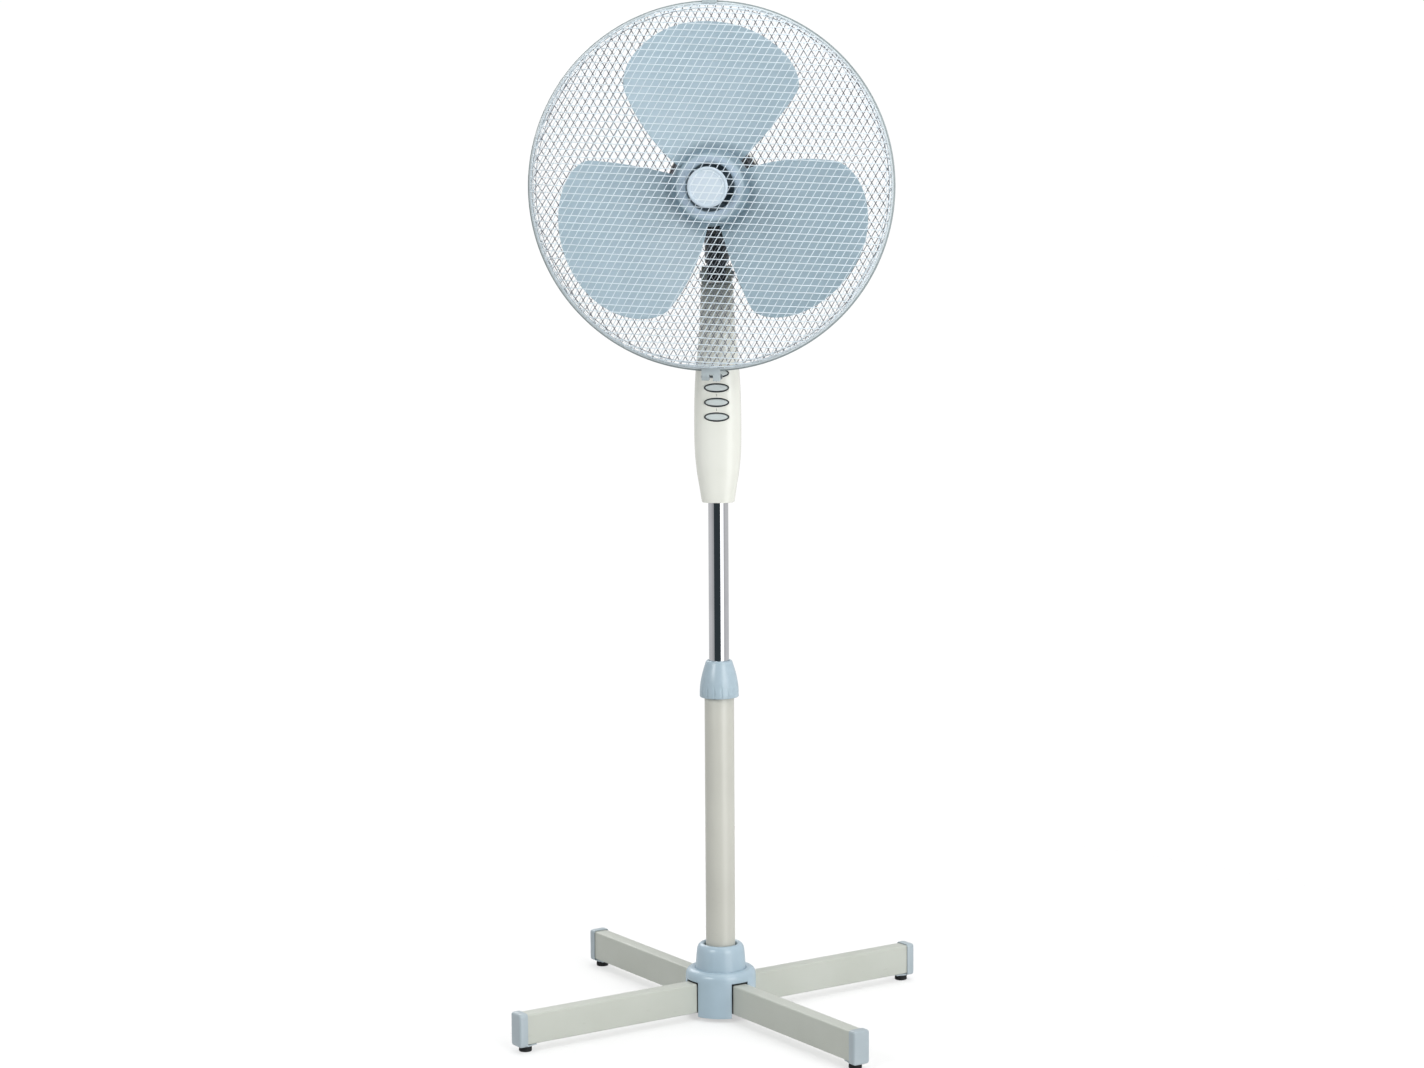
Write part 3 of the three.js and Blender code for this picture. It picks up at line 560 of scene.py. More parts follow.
def set_camera():
    """The camera that the main view is seen from."""
    camera = bpy.data.objects.new("camera", bpy.data.cameras.new("camera"))
    bpy.context.scene.collection.objects.link(camera)
    place = Vector((math.sin(CAMERA_TURN), -math.cos(CAMERA_TURN), 0)) * CAMERA_DISTANCE
    place.z = CAMERA_HEIGHT
    camera.matrix_world = (Matrix.Translation(place)
                           @ Matrix.Rotation(CAMERA_TURN + CAMERA_YAW, 4, "Z")
                           @ Matrix.Rotation(math.pi / 2 - CAMERA_PITCH, 4, "X")
                           @ Matrix.Rotation(CAMERA_ROLL, 4, "Z"))
    camera.data.lens = CAMERA_LENS
    camera.data.sensor_width = SENSOR_WIDTH
    camera.data.sensor_fit = "HORIZONTAL"
    camera.data.clip_end = 60
    bpy.context.scene.camera = camera


def lamp(name, place, target, size, power):
    """A large square soft light that the camera itself doesn't see."""
    data = bpy.data.lights.new(name, "AREA")
    data.shape, data.size, data.energy = "SQUARE", size, power
    made = bpy.data.objects.new(name, data)
    bpy.context.scene.collection.objects.link(made)
    made.location = place
    made.rotation_euler = (Vector(target) - Vector(place)).to_track_quat("-Z", "Y").to_euler()
    made.visible_camera = False


def set_room():
    """A white room: plain white behind the fan, and a softly uneven light all round it."""
    world = bpy.data.worlds.new("room")
    bpy.context.scene.world = world
    world.use_nodes = True
    room = Maker(world.node_tree)
    heading = room.node("ShaderNodeTexCoord", output="Generated")
    x = room.node("ShaderNodeSeparateXYZ", {}, {"Vector": heading}, output="X")
    y = room.node("ShaderNodeSeparateXYZ", {}, {"Vector": heading}, output="Y")
    bearing = x.math("ARCTAN2", x, y * -1)  # radians from the fan's front, positive to its left
    dark_panel = bearing.between(-0.94, -0.82, 0.36, 0.46)
    window = bearing.between(0.44, 0.54, 0.86, 1.25)
    front = bearing.between(-1.7, -1.0, 1.0, 1.7)
    level = 0.62 - 0.18 * front - 0.39 * dark_panel + 1.9 * window
    seen = room.node("ShaderNodeLightPath", output="Is Camera Ray")
    strength = level + seen * (BACKDROP - level)
    background = world.node_tree.nodes["Background"]
    cool = room.mix(dark_panel * (1 - seen), (1, 1, 1, 1), (0.68, 0.9, 1, 1))
    world.node_tree.links.new(cool.socket, background.inputs["Color"])
    world.node_tree.links.new(strength.socket, background.inputs["Strength"])


def set_stage():
    """The room, its lamps, and a white floor that only shows the fan's shadow and fades out round it."""
    floor = settle(start("circle", vertices=96, radius=FLOOR_RADIUS, fill_type="NGON"))
    floor.name = "floor"
    paper = Finish("floor", Base_Color=paint(250, 250, 250), Roughness=0.9, Specular_IOR_Level=0.1)
    distance = paper.vector("LENGTH", paper.place(), output="Value")
    paper.feed(Alpha=0.5 - 0.5 * distance.above(0.35, 1.9))
    floor.data.materials.append(paper.material)
    floor.visible_glossy = False
    set_room()
    lamp("key", (-2.1, -2.5, 2.1), (0, 0, 0.75), 1.4, 48)
    lamp("fill", (2.2, -2.8, 1.6), (0, 0, 0.85), 1.8, 30)
    lamp("top", (0.3, 0.3, 3.4), (0, 0, 0.6), 2.0, 28)
    lamp("back", (-1.4, 2.8, 2.2), (0, 0, 0.8), 1.8, 26)
    bpy.context.scene.view_settings.view_transform = "Standard"


set_camera()
set_stage()

# ---------------------------------------------------------------- base
CROSS_TURN = 37.5  # heading of the first leg, degrees from +X
LEG_REACH = 298.1
LEG_HALF = 10  # half the width of the leg tube
LEG_EDGE = 2.2
TUBE_WALL = 1.5
FOOT_RADIUS = 286.5  # from the fan's axis to a foot's


def leg_beam(name, heading, notch_at_top):
    """A rectangular steel tube right across the base, half-lapped where the two cross."""
    low, high = box_of("leg_beam_lower")
    middle = (low.z + high.z) / 2
    tube = block((-LEG_REACH, -LEG_HALF, low.z), (LEG_REACH, LEG_HALF, high.z))
    bpy.ops.object.mode_set(mode="EDIT")
    pick("edges", lambda centre, direction: abs(direction.x) > 0.9)
    bpy.ops.mesh.bevel(offset=LEG_EDGE * MM, segments=5, profile=0.5)
    pick("faces", lambda centre, normal: abs(normal.x) > 0.9)
    bpy.ops.mesh.inset(thickness=TUBE_WALL * MM)
    bpy.ops.mesh.bridge_edge_loops()
    bpy.ops.object.mode_set(mode="OBJECT")
    reach = LEG_HALF + GAP
    floor, roof = (middle - GAP, high.z + 5) if notch_at_top else (low.z - 5, middle + GAP)
    carve(tube, block((-reach, -20, floor), (reach, 20, roof)))
    finish(turn(tube, heading), name, "leg_steel", "base", name)


def leg_cap():
    """A moulded cap over a leg's end, with a boss under it for the foot. It points along +X."""
    tip, skirt, half = 300, 289, 11.6
    cap = block((skirt, -half, 7), (tip, half, 48.6))
    bpy.ops.object.mode_set(mode="EDIT")
    pick("edges", lambda centre, direction: abs(direction.x) > 0.9)
    bpy.ops.mesh.bevel(offset=3.6 * MM, segments=4, profile=0.5)
    pick("edges", lambda centre, direction: centre.x > tip - 0.1)
    bpy.ops.mesh.bevel(offset=2.8 * MM, segments=5, profile=0.5)
    pick("edges", lambda centre, direction: centre.x < skirt + 0.1)
    bpy.ops.mesh.bevel(offset=0.35 * MM, segments=2, profile=0.5)
    pick("faces", lambda centre, normal: normal.x < -0.9)
    bpy.ops.mesh.inset(thickness=0.95 * MM)
    bpy.ops.mesh.extrude_region_move(TRANSFORM_OT_translate={"value": (9.4 * MM, 0, 0)})
    bpy.ops.object.mode_set(mode="OBJECT")
    boss = turned([(8.6, 6.8), (9.2, 7.4), (9.2, 9.1)], centre=(FOOT_RADIUS, 0), sides=40)
    tongue = block((FOOT_RADIUS - 12, -7.5, 7.05), (tip - 3, 7.5, 9.1), 0.7)
    bore = turned([(2.3, 0), (2.3, 12)], centre=(FOOT_RADIUS, 0), sides=32)
    carve(boss, bore)
    return carve(cap, tongue, boss, operation="UNION")


def foot():
    """A round rubber foot with a stem pushed up into the cap's boss."""
    rings = [(6.6, 0), (7.5, 0.3), (8, 1.1), (8, 2.2), (7.7, 5.6), (7.2, 6.5), (2.1, 6.6), (2.1, 8.9)]
    return turned(rings, centre=(FOOT_RADIUS, 0), sides=40)


leg_beam("leg_beam_lower", CROSS_TURN, True)
leg_beam("leg_beam_upper", CROSS_TURN + 90, False)
first_cap, first_foot = leg_cap(), foot()
for quarter in range(4):
    heading = CROSS_TURN + 90 * quarter
    cap_name, foot_name = f"leg_cap_{quarter + 1}", f"foot_{quarter + 1}"
    finish(turn(twin(first_cap), heading), cap_name, "cap_plastic", "base", cap_name)
    finish(turn(twin(first_foot), heading), foot_name, "rubber", "base", foot_name)
bpy.data.objects.remove(first_cap)
bpy.data.objects.remove(first_foot)


def base_cover():
    """The moulded cover: a cone round the pole on a drum, with four slots for the legs."""
    drum = [(44.1, 5), (44.5, 5.4), (44.5, 50), (44.3, 53.4), (43.6, 56.4), (42.2, 58.8), (40.2, 60.3),
            (37.8, 61.1), (34.2, 61.3), (33, 61.2), (32.6, 60.9), (32.2, 60.2)]
    cone = [(31.9, 60.9), (31.8, 62), (31.2, 70), (30.4, 80), (30, 84), (29.3, 87.4), (27.9, 90),
            (26, 91.7), (24, 92.4), (22.6, 92.3), (21.2, 91.2), (20.6, 89.6)]
    inside = [(20.6, 85.5), (25.6, 84.6), (27.8, 82), (29.6, 60), (31, 58.6), (40, 57.6), (42.2, 54),
              (42.2, 5)]
    cover = turned(drum + cone + inside, sides=96, loop=True)
    slots = [turn(block((24, -12, -1), (52, 12, 49)), CROSS_TURN + 90 * quarter) for quarter in range(4)]
    carve(cover, *slots)
    finish(round_edges(cover, 0.35, angle=60), "base_cover", "cover_plastic", "base", "base_cover")


def pole():
    """The outer tube, with a rolled upper edge."""
    low, high = box_of("pole")
    outer, inner = high.x, high.x - 1.2
    rings = [(outer, low.z), (outer, high.z - 0.8), (outer - 0.25, high.z - 0.2), (outer - 0.6, high.z),
             (inner + 0.2, high.z - 0.1), (inner, high.z - 0.6), (inner, low.z)]
    finish(turned(rings, sides=96, loop=True), "pole", "pole_steel", "base", "pole")


def height_nut():
    """The bell-shaped clamping nut, with shallow grip flutes round its skirt."""
    outside = [(23.8, 408), (24.4, 408.7), (24.4, 414), (24.15, 420), (23.5, 426), (22.4, 432), (21, 438),
               (19.4, 443.6), (17.9, 448.4), (16.9, 451.6), (16, 453.4), (14.9, 454), (13.8, 453.8),
               (13.2, 453.2)]
    inside = [(13.2, 450.5), (18, 440), (18, 417), (19.2, 416), (19.2, 408)]
    nut = turned(outside + inside, sides=96, loop=True)
    flute = [(0.5, 405), (2.4, 406), (2.4, 421), (1.7, 424), (0.6, 425.6)]
    cutters = [turn(turned(flute, centre=(26.1, 0), sides=20), 22.5 * i + 11.25) for i in range(16)]
    carve(nut, *cutters)
    finish(nut, "height_nut", "blue_plastic", "nut", "height_nut", smooth=50)


base_cover()
pole()
height_nut()


# ---------------------------------------------------------------- column and control housing
def inner_tube():
    """The chromed tube that slides in the pole."""
    low, high = box_of("inner_tube")
    outer, inner = high.x, high.x - 1.1
    rings = [(outer, low.z), (outer, high.z), (inner, high.z), (inner, low.z)]
    finish(turned(rings, sides=96, loop=True), "inner_tube", "chrome", "column", "inner_tube")


HOUSING_LEVELS = [(653, 20.4), (672, 23.2), (690, 26.2), (712, 28.4), (735, 29.2), (782, 28.8), (812, 27.4),
                  (845, 24.2), (876, 21.8), (923, 19.8)]  # (height, half width), mm
HOUSING_DEPTH = 0.8  # half depth as a share of half width
HOUSING_POWER = 2.4  # over 2, so the oval is slightly squared
HOUSING_WALL = 2.2
BUTTON_HEIGHTS = [760.5, 778.5, 796.5, 814.5]
BUTTON_HALF = (13.7, 4)  # half width and half height
BUTTON_BACK = -17  # y of a button's hidden end, which leaves its travel free
SLOT_SPACE = 1.9  # from a button to the edge of its slot
SCREW_HEAD = 2  # height of a screw's head
BACK_HOLES = [(705, 3.9), (845, 3.9), (678, 4.6)]  # (height, radius): two for screws, one for the gland


def housing_half(z):
    """The housing's half width at a height: a smooth curve through its levels."""
    levels = HOUSING_LEVELS
    i = max(k for k in range(len(levels) - 1) if levels[k][0] <= z or k == 0)
    (z0, w0), (z1, w1) = levels[i], levels[i + 1]

    def slope(k):
        first, last = levels[max(k - 1, 0)], levels[min(k + 1, len(levels) - 1)]
        return (last[1] - first[1]) / (last[0] - first[0])

    t = (z - z0) / (z1 - z0)
    rise = z1 - z0
    return (w0 * (1 + 2 * t) * (1 - t) ** 2 + w1 * t * t * (3 - 2 * t)
            + rise * (slope(i) * t * (1 - t) ** 2 - slope(i + 1) * t * t * (1 - t)))


def housing_shell():
    """The oval shell, drawn up from its lower end, hollowed, and open where the tube and the fork enter."""
    bottom, top = HOUSING_LEVELS[0][0], HOUSING_LEVELS[-1][0]
    heights = [bottom + (top - bottom) * i / 40 for i in range(41)]
    outer = [(housing_half(z), z) for z in heights]
    lip = [(outer[0][0] - 1, bottom), (outer[0][0] - 0.3, bottom + 0.3), (outer[0][0], bottom + 1)]
    crown = [(outer[-1][0], top - 1), (outer[-1][0] - 0.3, top - 0.3), (outer[-1][0] - 1, top)]

    def oval(rings, wall=0.0):
        return [(half - wall, half * HOUSING_DEPTH - wall, z) for half, z in rings]

    shell = turned(oval(lip + outer[1:-1] + crown), sides=96, power=HOUSING_POWER)
    hollow = turned(oval(outer[2:-2], HOUSING_WALL), sides=64, power=HOUSING_POWER)
    tube = turned([(12.8, bottom - 3), (12.8, bottom + 30)], sides=64)
    mouth = block((-15.5, -11, top - 32), (15.5, 11, top + 5))
    return carve(shell, hollow, tube, mouth)


def button_slot(z):
    """A cutter for one button's slot in the housing's front."""
    wide, high = (half + SLOT_SPACE for half in BUTTON_HALF)
    return turned([(wide, high, -40), (wide, high, -5)], axis="Y", centre=(0, z), sides=64)


def housing():
    """The shell split into a front and a back half, with the button slots and the screw holes."""
    shell = housing_shell()
    halves = {"housing_front": -1, "housing_back": 1}
    for name, side in halves.items():
        half = twin(shell, name)
        near, far = sorted((side * -40, side * GAP / 2))
        carve(half, block((-40, near, 640), (40, far, 930)))
        if side < 0:
            carve(half, *[button_slot(z) for z in BUTTON_HEIGHTS])
        else:
            holes = [turned([(radius, 5), (radius, 40)], axis="Y", centre=(0, z), sides=40)
                     for z, radius in BACK_HOLES]
            carve(half, *holes)
        finish(round_edges(half, 0.25, angle=50), name, "cream_plastic", "column", name, smooth=40)
    bpy.data.objects.remove(shell)


def button_well(i, z):
    """The oval collar that a button slides in, dark as painted shade in the gap round the button."""
    front = -housing_half(z) * HOUSING_DEPTH + 0.35
    wide, high = (half + SLOT_SPACE - 0.1 for half in BUTTON_HALF)
    wall = 1.35
    rings = [(wide - 0.3, high - 0.3, front), (wide, high, front + 0.4), (wide, high, front + 9),
             (wide - wall, high - wall, front + 9), (wide - wall, high - wall, front + 0.3),
             (wide - wall + 0.3, high - wall + 0.3, front)]
    well = turned(rings, axis="Y", centre=(0, z), sides=64, loop=True)
    # dark plastic as painted shade in the gap round the button
    finish(well, f"button_well_{i}", "dark_plastic", "column")


def speed_button(i, z):
    """An oval push button with a softly crowned face."""
    name = f"speed_button_{i}"
    front = box_of(name)[0].y
    wide, high = BUTTON_HALF
    rings = [(wide - 0.4, high - 0.4, BUTTON_BACK), (wide, high, BUTTON_BACK - 0.4),
             (wide, high, front + 1.6)]
    for inset, rise in [(0.15, 0.9), (0.55, 0.45), (1.3, 0.2), (2.6, 0.06)]:
        rings.append((wide - inset, high - inset, front + rise))
    rings += [(wide - 3.9, high - 3.9 * high / wide - 1.4, front), (0, 0, front)]
    button = turned(rings, axis="Y", centre=(0, z), sides=64)
    stem = block((-8, BUTTON_BACK - 1, z - 2), (8, BUTTON_BACK + 4, z + 2), 0.3)
    finish(carve(button, stem, operation="UNION"), name, "button_plastic", f"button_{i}", name)


def digit(number, z):
    """A small printed figure beside its button."""
    bpy.ops.object.select_all(action="DESELECT")
    bpy.ops.object.text_add(location=(0, 0, 0), rotation=(math.pi / 2, 0, 0))
    text = bpy.context.object
    text.data.body = str(number)
    text.data.size = 4.2 * MM
    text.data.extrude = 0.06 * MM
    text.data.align_x, text.data.align_y = "CENTER", "CENTER"
    text.location = (0, (-housing_half(z) * HOUSING_DEPTH - 0.02) * MM, z * MM)
    bpy.ops.object.convert(target="MESH")
    finish(settle(weld(bpy.context.object)), f"figure_{number}", "dark_plastic", "column")


def cable_gland():
    """The rubber strain relief in the back of the housing, ribbed along its sleeve."""
    low, high = box_of("cable_gland")
    z = (low.z + high.z) / 2
    flange = high.y - 16
    rings = [(6, low.y), (6, low.y + 2), (4.3, low.y + 2), (4.3, flange), (6, flange), (6.4, flange + 0.5),
             (6.4, flange + 1.6), (6, flange + 2.2), (4.8, flange + 2.6)]
    for k in range(5):
        y, thick = flange + 3.4 + 2.2 * k, 4.7 - 0.2 * k
        rings += [(thick, y), (thick, y + 1.2), (thick - 0.5, y + 1.5), (thick - 0.5, y + 2)]
    rings += [(3.6, high.y - 0.4), (3.3, high.y), (2.5, high.y), (2.4, high.y - 0.6), (2.4, high.y - 10),
              (0, high.y - 10)]
    gland = turned(rings, axis="Y", centre=(0, z), sides=40)
    finish(gland, "cable_gland", "rubber", "column", "cable_gland")


def cross_screw():
    """A pan-head screw along +Y with its seat at the origin and a cross in its head."""
    rings = [(1.7, -9), (1.7, 0), (3.3, 0), (3.4, 0.25), (3.3, 0.9), (2.9, 1.5), (2.2, 1.85),
             (1.2, SCREW_HEAD), (0, SCREW_HEAD)]
    screw = turned(rings, axis="Y", sides=40)
    arms = [block((-2, 0.9, -0.35), (2, 3, 0.35)), block((-0.35, 0.9, -2), (0.35, 3, 2))]
    return carve(screw, *arms)


inner_tube()
housing()
for i, z in enumerate(BUTTON_HEIGHTS):
    button_well(i, z)
    speed_button(i, z)
for number, z in enumerate(BUTTON_HEIGHTS[:-1]):
    digit(number + 1, z + 9)
cable_gland()
screw = cross_screw()
SCREWS = {"housing_screw_lower": "column", "housing_screw_upper": "column", "rear_shell_screw": "head"}
for name, body in SCREWS.items():
    low, high = box_of(name)
    placed = shift(twin(screw), 0, high.y - SCREW_HEAD, (low.z + high.z) / 2)
    finish(placed, name, "steel", body, name)
bpy.data.objects.remove(screw)


# ---------------------------------------------------------------- fork and neck
EAR_RADIUS = 11  # the fork's ears are rounded about the tilt bolt
TILT_Z = box_of("tilt_yoke")[1].z - EAR_RADIUS
BOLT_HOLE = 3.3
LINK_STUD = (11.5, 9.6)  # where the drag link pivots on the neck


def bolt_bore():
    """A cutter along the tilt bolt."""
    return turned([(BOLT_HOLE, -30), (BOLT_HOLE, 30)], axis="X", centre=(0, TILT_Z), sides=40)


def tilt_yoke():
    """The fork on the housing: a plug, a collar and two round-topped ears with a hole for the bolt."""
    low, high = box_of("tilt_yoke")
    inner, outer = 11.4, high.x
    plug_top = low.z + 32
    fork = block((-15.2, -10.7, low.z), (15.2, 10.7, plug_top), 1.2)
    collar = block((-outer, low.y, low.z + 30.3), (outer, high.y, low.z + 33), 0.8)
    ears = []
    for x0, x1 in [(inner, outer), (-outer, -inner)]:
        ear = block((x0, -EAR_RADIUS, plug_top - 1), (x1, EAR_RADIUS, TILT_Z))
        top = turned([(EAR_RADIUS, x0), (EAR_RADIUS, x1)], axis="X", centre=(0, TILT_Z), sides=64)
        ears.append(carve(ear, top, operation="UNION"))
    carve(fork, collar, *ears, operation="UNION")
    throat = block((-inner, -15, TILT_Z - 10), (inner, 15, TILT_Z + 20))
    carve(fork, bolt_bore(), throat)
    finish(round_edges(fork, 0.5, 2, 50), "tilt_yoke", "cream_plastic", "column", "tilt_yoke")


def tilt_bolt():
    """A hexagon-headed bolt with a nut, through the fork."""
    low, high = box_of("tilt_bolt")
    centre = (0, (low.z + high.z) / 2)
    head = round_edges(turned([(5.2, high.x - 2.5), (5.2, high.x)], axis="X", centre=centre, sides=6), 0.4)
    nut = round_edges(turned([(5, low.x), (5, low.x + 2.5)], axis="X", centre=centre, sides=6), 0.4)
    shank = turned([(3, low.x + 0.2), (3, high.x - 0.5)], axis="X", centre=centre, sides=40)
    finish(carve(shank, head, nut, operation="UNION"), "tilt_bolt", "steel", "column", "tilt_bolt")


def neck():
    """The dark neck: a tongue in the fork, a waisted body, and a round platform under the motor."""
    top = 995.2
    waist = [(13.2, 12.6, TILT_Z + 13.6), (14.2, 13.6, TILT_Z + 14), (14.7, 14.2, TILT_Z + 15.4), (15, 956),
             (14.9, 964), (15, 970), (15.5, 974.6), (16.6, 978)]
    platform = [(18.2, 980.4), (18.8, 981.6), (19, 983), (19, 994), (18.7, 994.9), (18.2, top)]
    body = turned(waist + platform, sides=64)
    wide, rounding = 11.1, 9.4
    tongue = turned([(rounding, -wide), (rounding, wide)], axis="X", centre=(0, TILT_Z), sides=64)
    web = block((-wide, -rounding, TILT_Z), (wide, rounding, 952))
    carve(tongue, web, operation="UNION")
    stud = turned([(2, top - 2), (2, top + 3), (1.7, top + 3.4)], centre=LINK_STUD, sides=32)
    carve(body, tongue, stud, operation="UNION")
    pin_hole = turned([(5.3, 958), (5.3, 1000)], sides=40)
    finish(carve(body, bolt_bore(), pin_hole), "neck", "dark_plastic", "neck", "neck")


tilt_yoke()
tilt_bolt()
neck()

# ---------------------------------------------------------------- motor head
HEAD = (0, HEAD_Z)  # the motor's axis, for pieces turned about Y
WHEEL_AXIS = (15, 16)  # the knob's and the worm wheel's


def motor_front_shell():
    """The dark front shell, with a raised nose that carries the guard and lets the shaft out."""
    low, high = box_of("motor_front_shell")
    wide = high.x
    outside = [(18.9, low.y), (19.5, low.y + 0.6), (19.5, -61.4), (20.4, -60.3), (21.6, -60), (46.6, -60),
               (49, -59.6), (51.4, -58.4), (56, -51.6), (56.8, -50), (wide, -48.6), (wide, high.y)]
    inside = [(wide - 2, high.y), (wide - 2, -49.4), (47, -57.6), (9.4, -57.6), (9.4, -63), (6, -63),
              (6, low.y)]
    shell = turned(outside + inside, axis="Y", centre=HEAD, sides=96, loop=True)
    finish(shell, "motor_front_shell", "dark_plastic", "head", "motor_front_shell")


def motor_rear_shell():
    """The motor's rear cover, with cooling slots in its face and holes for the neck, knob and screw."""
    low, high = box_of("motor_rear_shell")
    wide, back = high.x, high.y
    wall = 2.2
    outside = [(wide, low.y), (wide, 34), (56.7, 36.6), (55.6, 40.4), (53.4, 45), (50.8, 48.6), (47, 51),
               (42, 52.6), (36, 53.4), (24, 53.8), (0, back)]
    inside = [(wide - wall, low.y), (wide - wall, 35.4), (49, 47.2), (38, 51.2), (0, back - wall)]
    shell = turned(outside, axis="Y", centre=HEAD, sides=96)
    core = turned(inside, axis="Y", centre=HEAD, sides=96)
    mouth = turned([(wide - wall, low.y - 1), (wide - wall, low.y + 2)], axis="Y", centre=HEAD, sides=96)
    carve(shell, core, mouth)
    heights = [HEAD_Z + 10 * i for i in range(-2, 3)]
    vents = [block((-18, 40, z - 1.7), (18, 60, z + 1.7), 1.6, 3) for z in heights]
    neck_hole = turned([(20.5, 960), (20.5, 1000)], sides=64)
    knob_hole = turned([(4.2, HEAD_Z), (4.2, 1120)], centre=WHEEL_AXIS, sides=40)
    screw_hole = turned([(1.9, 40), (1.9, 60)], axis="Y", centre=(0, HEAD_Z - 36), sides=32)
    carve(shell, *vents, neck_hole, knob_hole, screw_hole)
    finish(round_edges(shell, 0.35, 2, 50), "motor_rear_shell", "cream_plastic", "head", "motor_rear_shell")


def oscillation_knob():
    """The pull-up knob that lets the head swing, with grip grooves."""
    rings = [(3.6, box_of("oscillation_knob")[0].z), (3.6, 1098.6), (6.8, 1098.6), (7.4, 1099.2),
             (7.4, 1108), (7.1, 1109.4), (6.3, 1110.6), (4.6, 1111.2), (2, 1111.4), (0, 1111.4)]
    knob = turned(rings, centre=WHEEL_AXIS, sides=64)
    grips = [turned([(1.05, 1101), (1.05, 1107.6), (0.5, 1108.4)], centre=centre, sides=16)
             for centre in around(WHEEL_AXIS, 8, 12)]
    carve(knob, *grips)
    finish(knob, "oscillation_knob", "cream_plastic", "knob", "oscillation_knob", smooth=45)


motor_front_shell()
motor_rear_shell()
oscillation_knob()

# ---------------------------------------------------------------- guards
RIM_Y = -105  # the plane where the two rims meet
RIM_RADIUS = 220
FRONT_RIM_RADIUS = 218
RIM_THICK = 5
RIM_DEPTH = 6.5
MESH_EDGE = RIM_RADIUS - RIM_THICK + 0.5
DOME_POWER = 3.8
FRONT_DEPTH = 58.3
REAR_DEPTH = 41.6
CROSSING = 0.55  # half the distance between two families of wires where they cross
REAR_HOLE = 32  # radius of the opening in the rear mesh
HOOP_THICK = 0.9


def dome(radius, depth):
    """Depth of the wire dome at a radius: nearly flat in the middle, and steep beside the rim."""
    share = min(radius / MESH_EDGE, 1)
    return depth * (1 - share ** DOME_POWER) ** (1 / 3)


def wire_offsets(pitch, depth, first=0.25):
    """Where the wires cross the dome's middle: evenly spaced on its surface, so closer beside the rim."""
    step, radius, run = 0.05, 0.0, 0.0
    places = {1: [], -1: []}
    due = {1: first * pitch, -1: (1 - first) * pitch}
    while radius < MESH_EDGE - 0.7:
        drop = dome(radius + step, depth) - dome(radius, depth)
        radius, run = radius + step, run + math.hypot(step, drop)
        for way in (1, -1):
            if run >= due[way]:
                places[way].append(way * radius)
                due[way] += pitch
    return [*reversed(places[-1]), *places[1]]


def wire_points(offset, depth, side, lift, steps=13):
    """One straight wire in front view, laid over the dome from rim to rim: (along, offset, y) points."""
    reach = math.sqrt((MESH_EDGE - 0.2) ** 2 - offset ** 2)
    half = []
    for i in range(steps + 1):
        along = reach * (1 - (1 - i / steps) ** 3)
        half.append((along, RIM_Y + side * (dome(math.hypot(along, offset), depth) + lift)))
    foot_along = reach * (MESH_EDGE + 1.2) / (MESH_EDGE - 0.2)
    half.append((foot_along, RIM_Y + side * 3.6))
    return [(-along, y) for along, y in reversed(half[1:])] + half


def wires(name, heading, pitch, depth, side, lift, thick, hole=0.0, finish_of="wire"):
    """A family of parallel wires, cut short round a hole. heading is in front view, in degrees."""
    curve = bpy.data.curves.new(name, "CURVE")
    curve.dimensions = "3D"
    curve.bevel_depth = thick / 2 * MM
    curve.bevel_resolution = 1
    curve.use_fill_caps = True
    cosine, sine = math.cos(math.radians(heading)), math.sin(math.radians(heading))
    for offset in wire_offsets(pitch, depth):
        points = wire_points(offset, depth, side, lift)
        runs = [points]
        if abs(offset) < hole:
            limit, middle_y = math.sqrt(hole ** 2 - offset ** 2), points[len(points) // 2][1]
            runs = [[point for point in points if point[0] < -limit] + [(-limit, middle_y)],
                    [(limit, middle_y)] + [point for point in points if point[0] > limit]]
        for run in runs:
            spline = curve.splines.new("POLY")
            spline.points.add(len(run) - 1)
            for point, (along, y) in zip(spline.points, run):
                x = along * cosine - offset * sine
                z = along * sine + offset * cosine
                point.co = (x * MM, y * MM, (HEAD_Z + z) * MM, 1)
    piece = bpy.data.objects.new(name, curve)
    bpy.context.scene.collection.objects.link(piece)
    only(piece)
    bpy.ops.object.convert(target="MESH")
    node = "front_guard" if side < 0 else "rear_guard"
    finish(weld(bpy.context.object), name, finish_of, "head", node, smooth=75)


def hoops(name, radii, depth, side, finish_of, node):
    """Thin rings welded round the steep side of the mesh."""
    rings = []
    for radius in radii:
        y = RIM_Y + side * (dome(radius, depth) + 0.2)
        half = HOOP_THICK / 2
        section = [(radius + half * math.cos(math.tau * k / 8), y + half * math.sin(math.tau * k / 8))
                   for k in range(8)]
        rings.append(turned(section, axis="Y", centre=HEAD, sides=160, loop=True))
    finish(carve(*rings, operation="UNION"), name, finish_of, "head", node, smooth=75)


def rim(name, side, outer, node):
    """A rolled steel ring that the wires are welded into."""
    near, far = GAP, RIM_DEPTH
    inner = RIM_RADIUS - RIM_THICK
    section = [(inner, near), (outer - 1, near), (outer - 0.3, near + 0.4), (outer, near + 1.3),
               (outer, far - 2.2), (outer - 0.4, far - 0.9), (outer - 1.1, far - 0.2), (outer - 1.8, far),
               (inner + 0.8, far), (inner + 0.2, far - 0.3), (inner, far - 1)]
    rings = [(radius, RIM_Y + side * depth) for radius, depth in section]
    ring = turned(rings, axis="Y", centre=HEAD, sides=192, loop=True)
    finish(ring, name, name, "head", node)


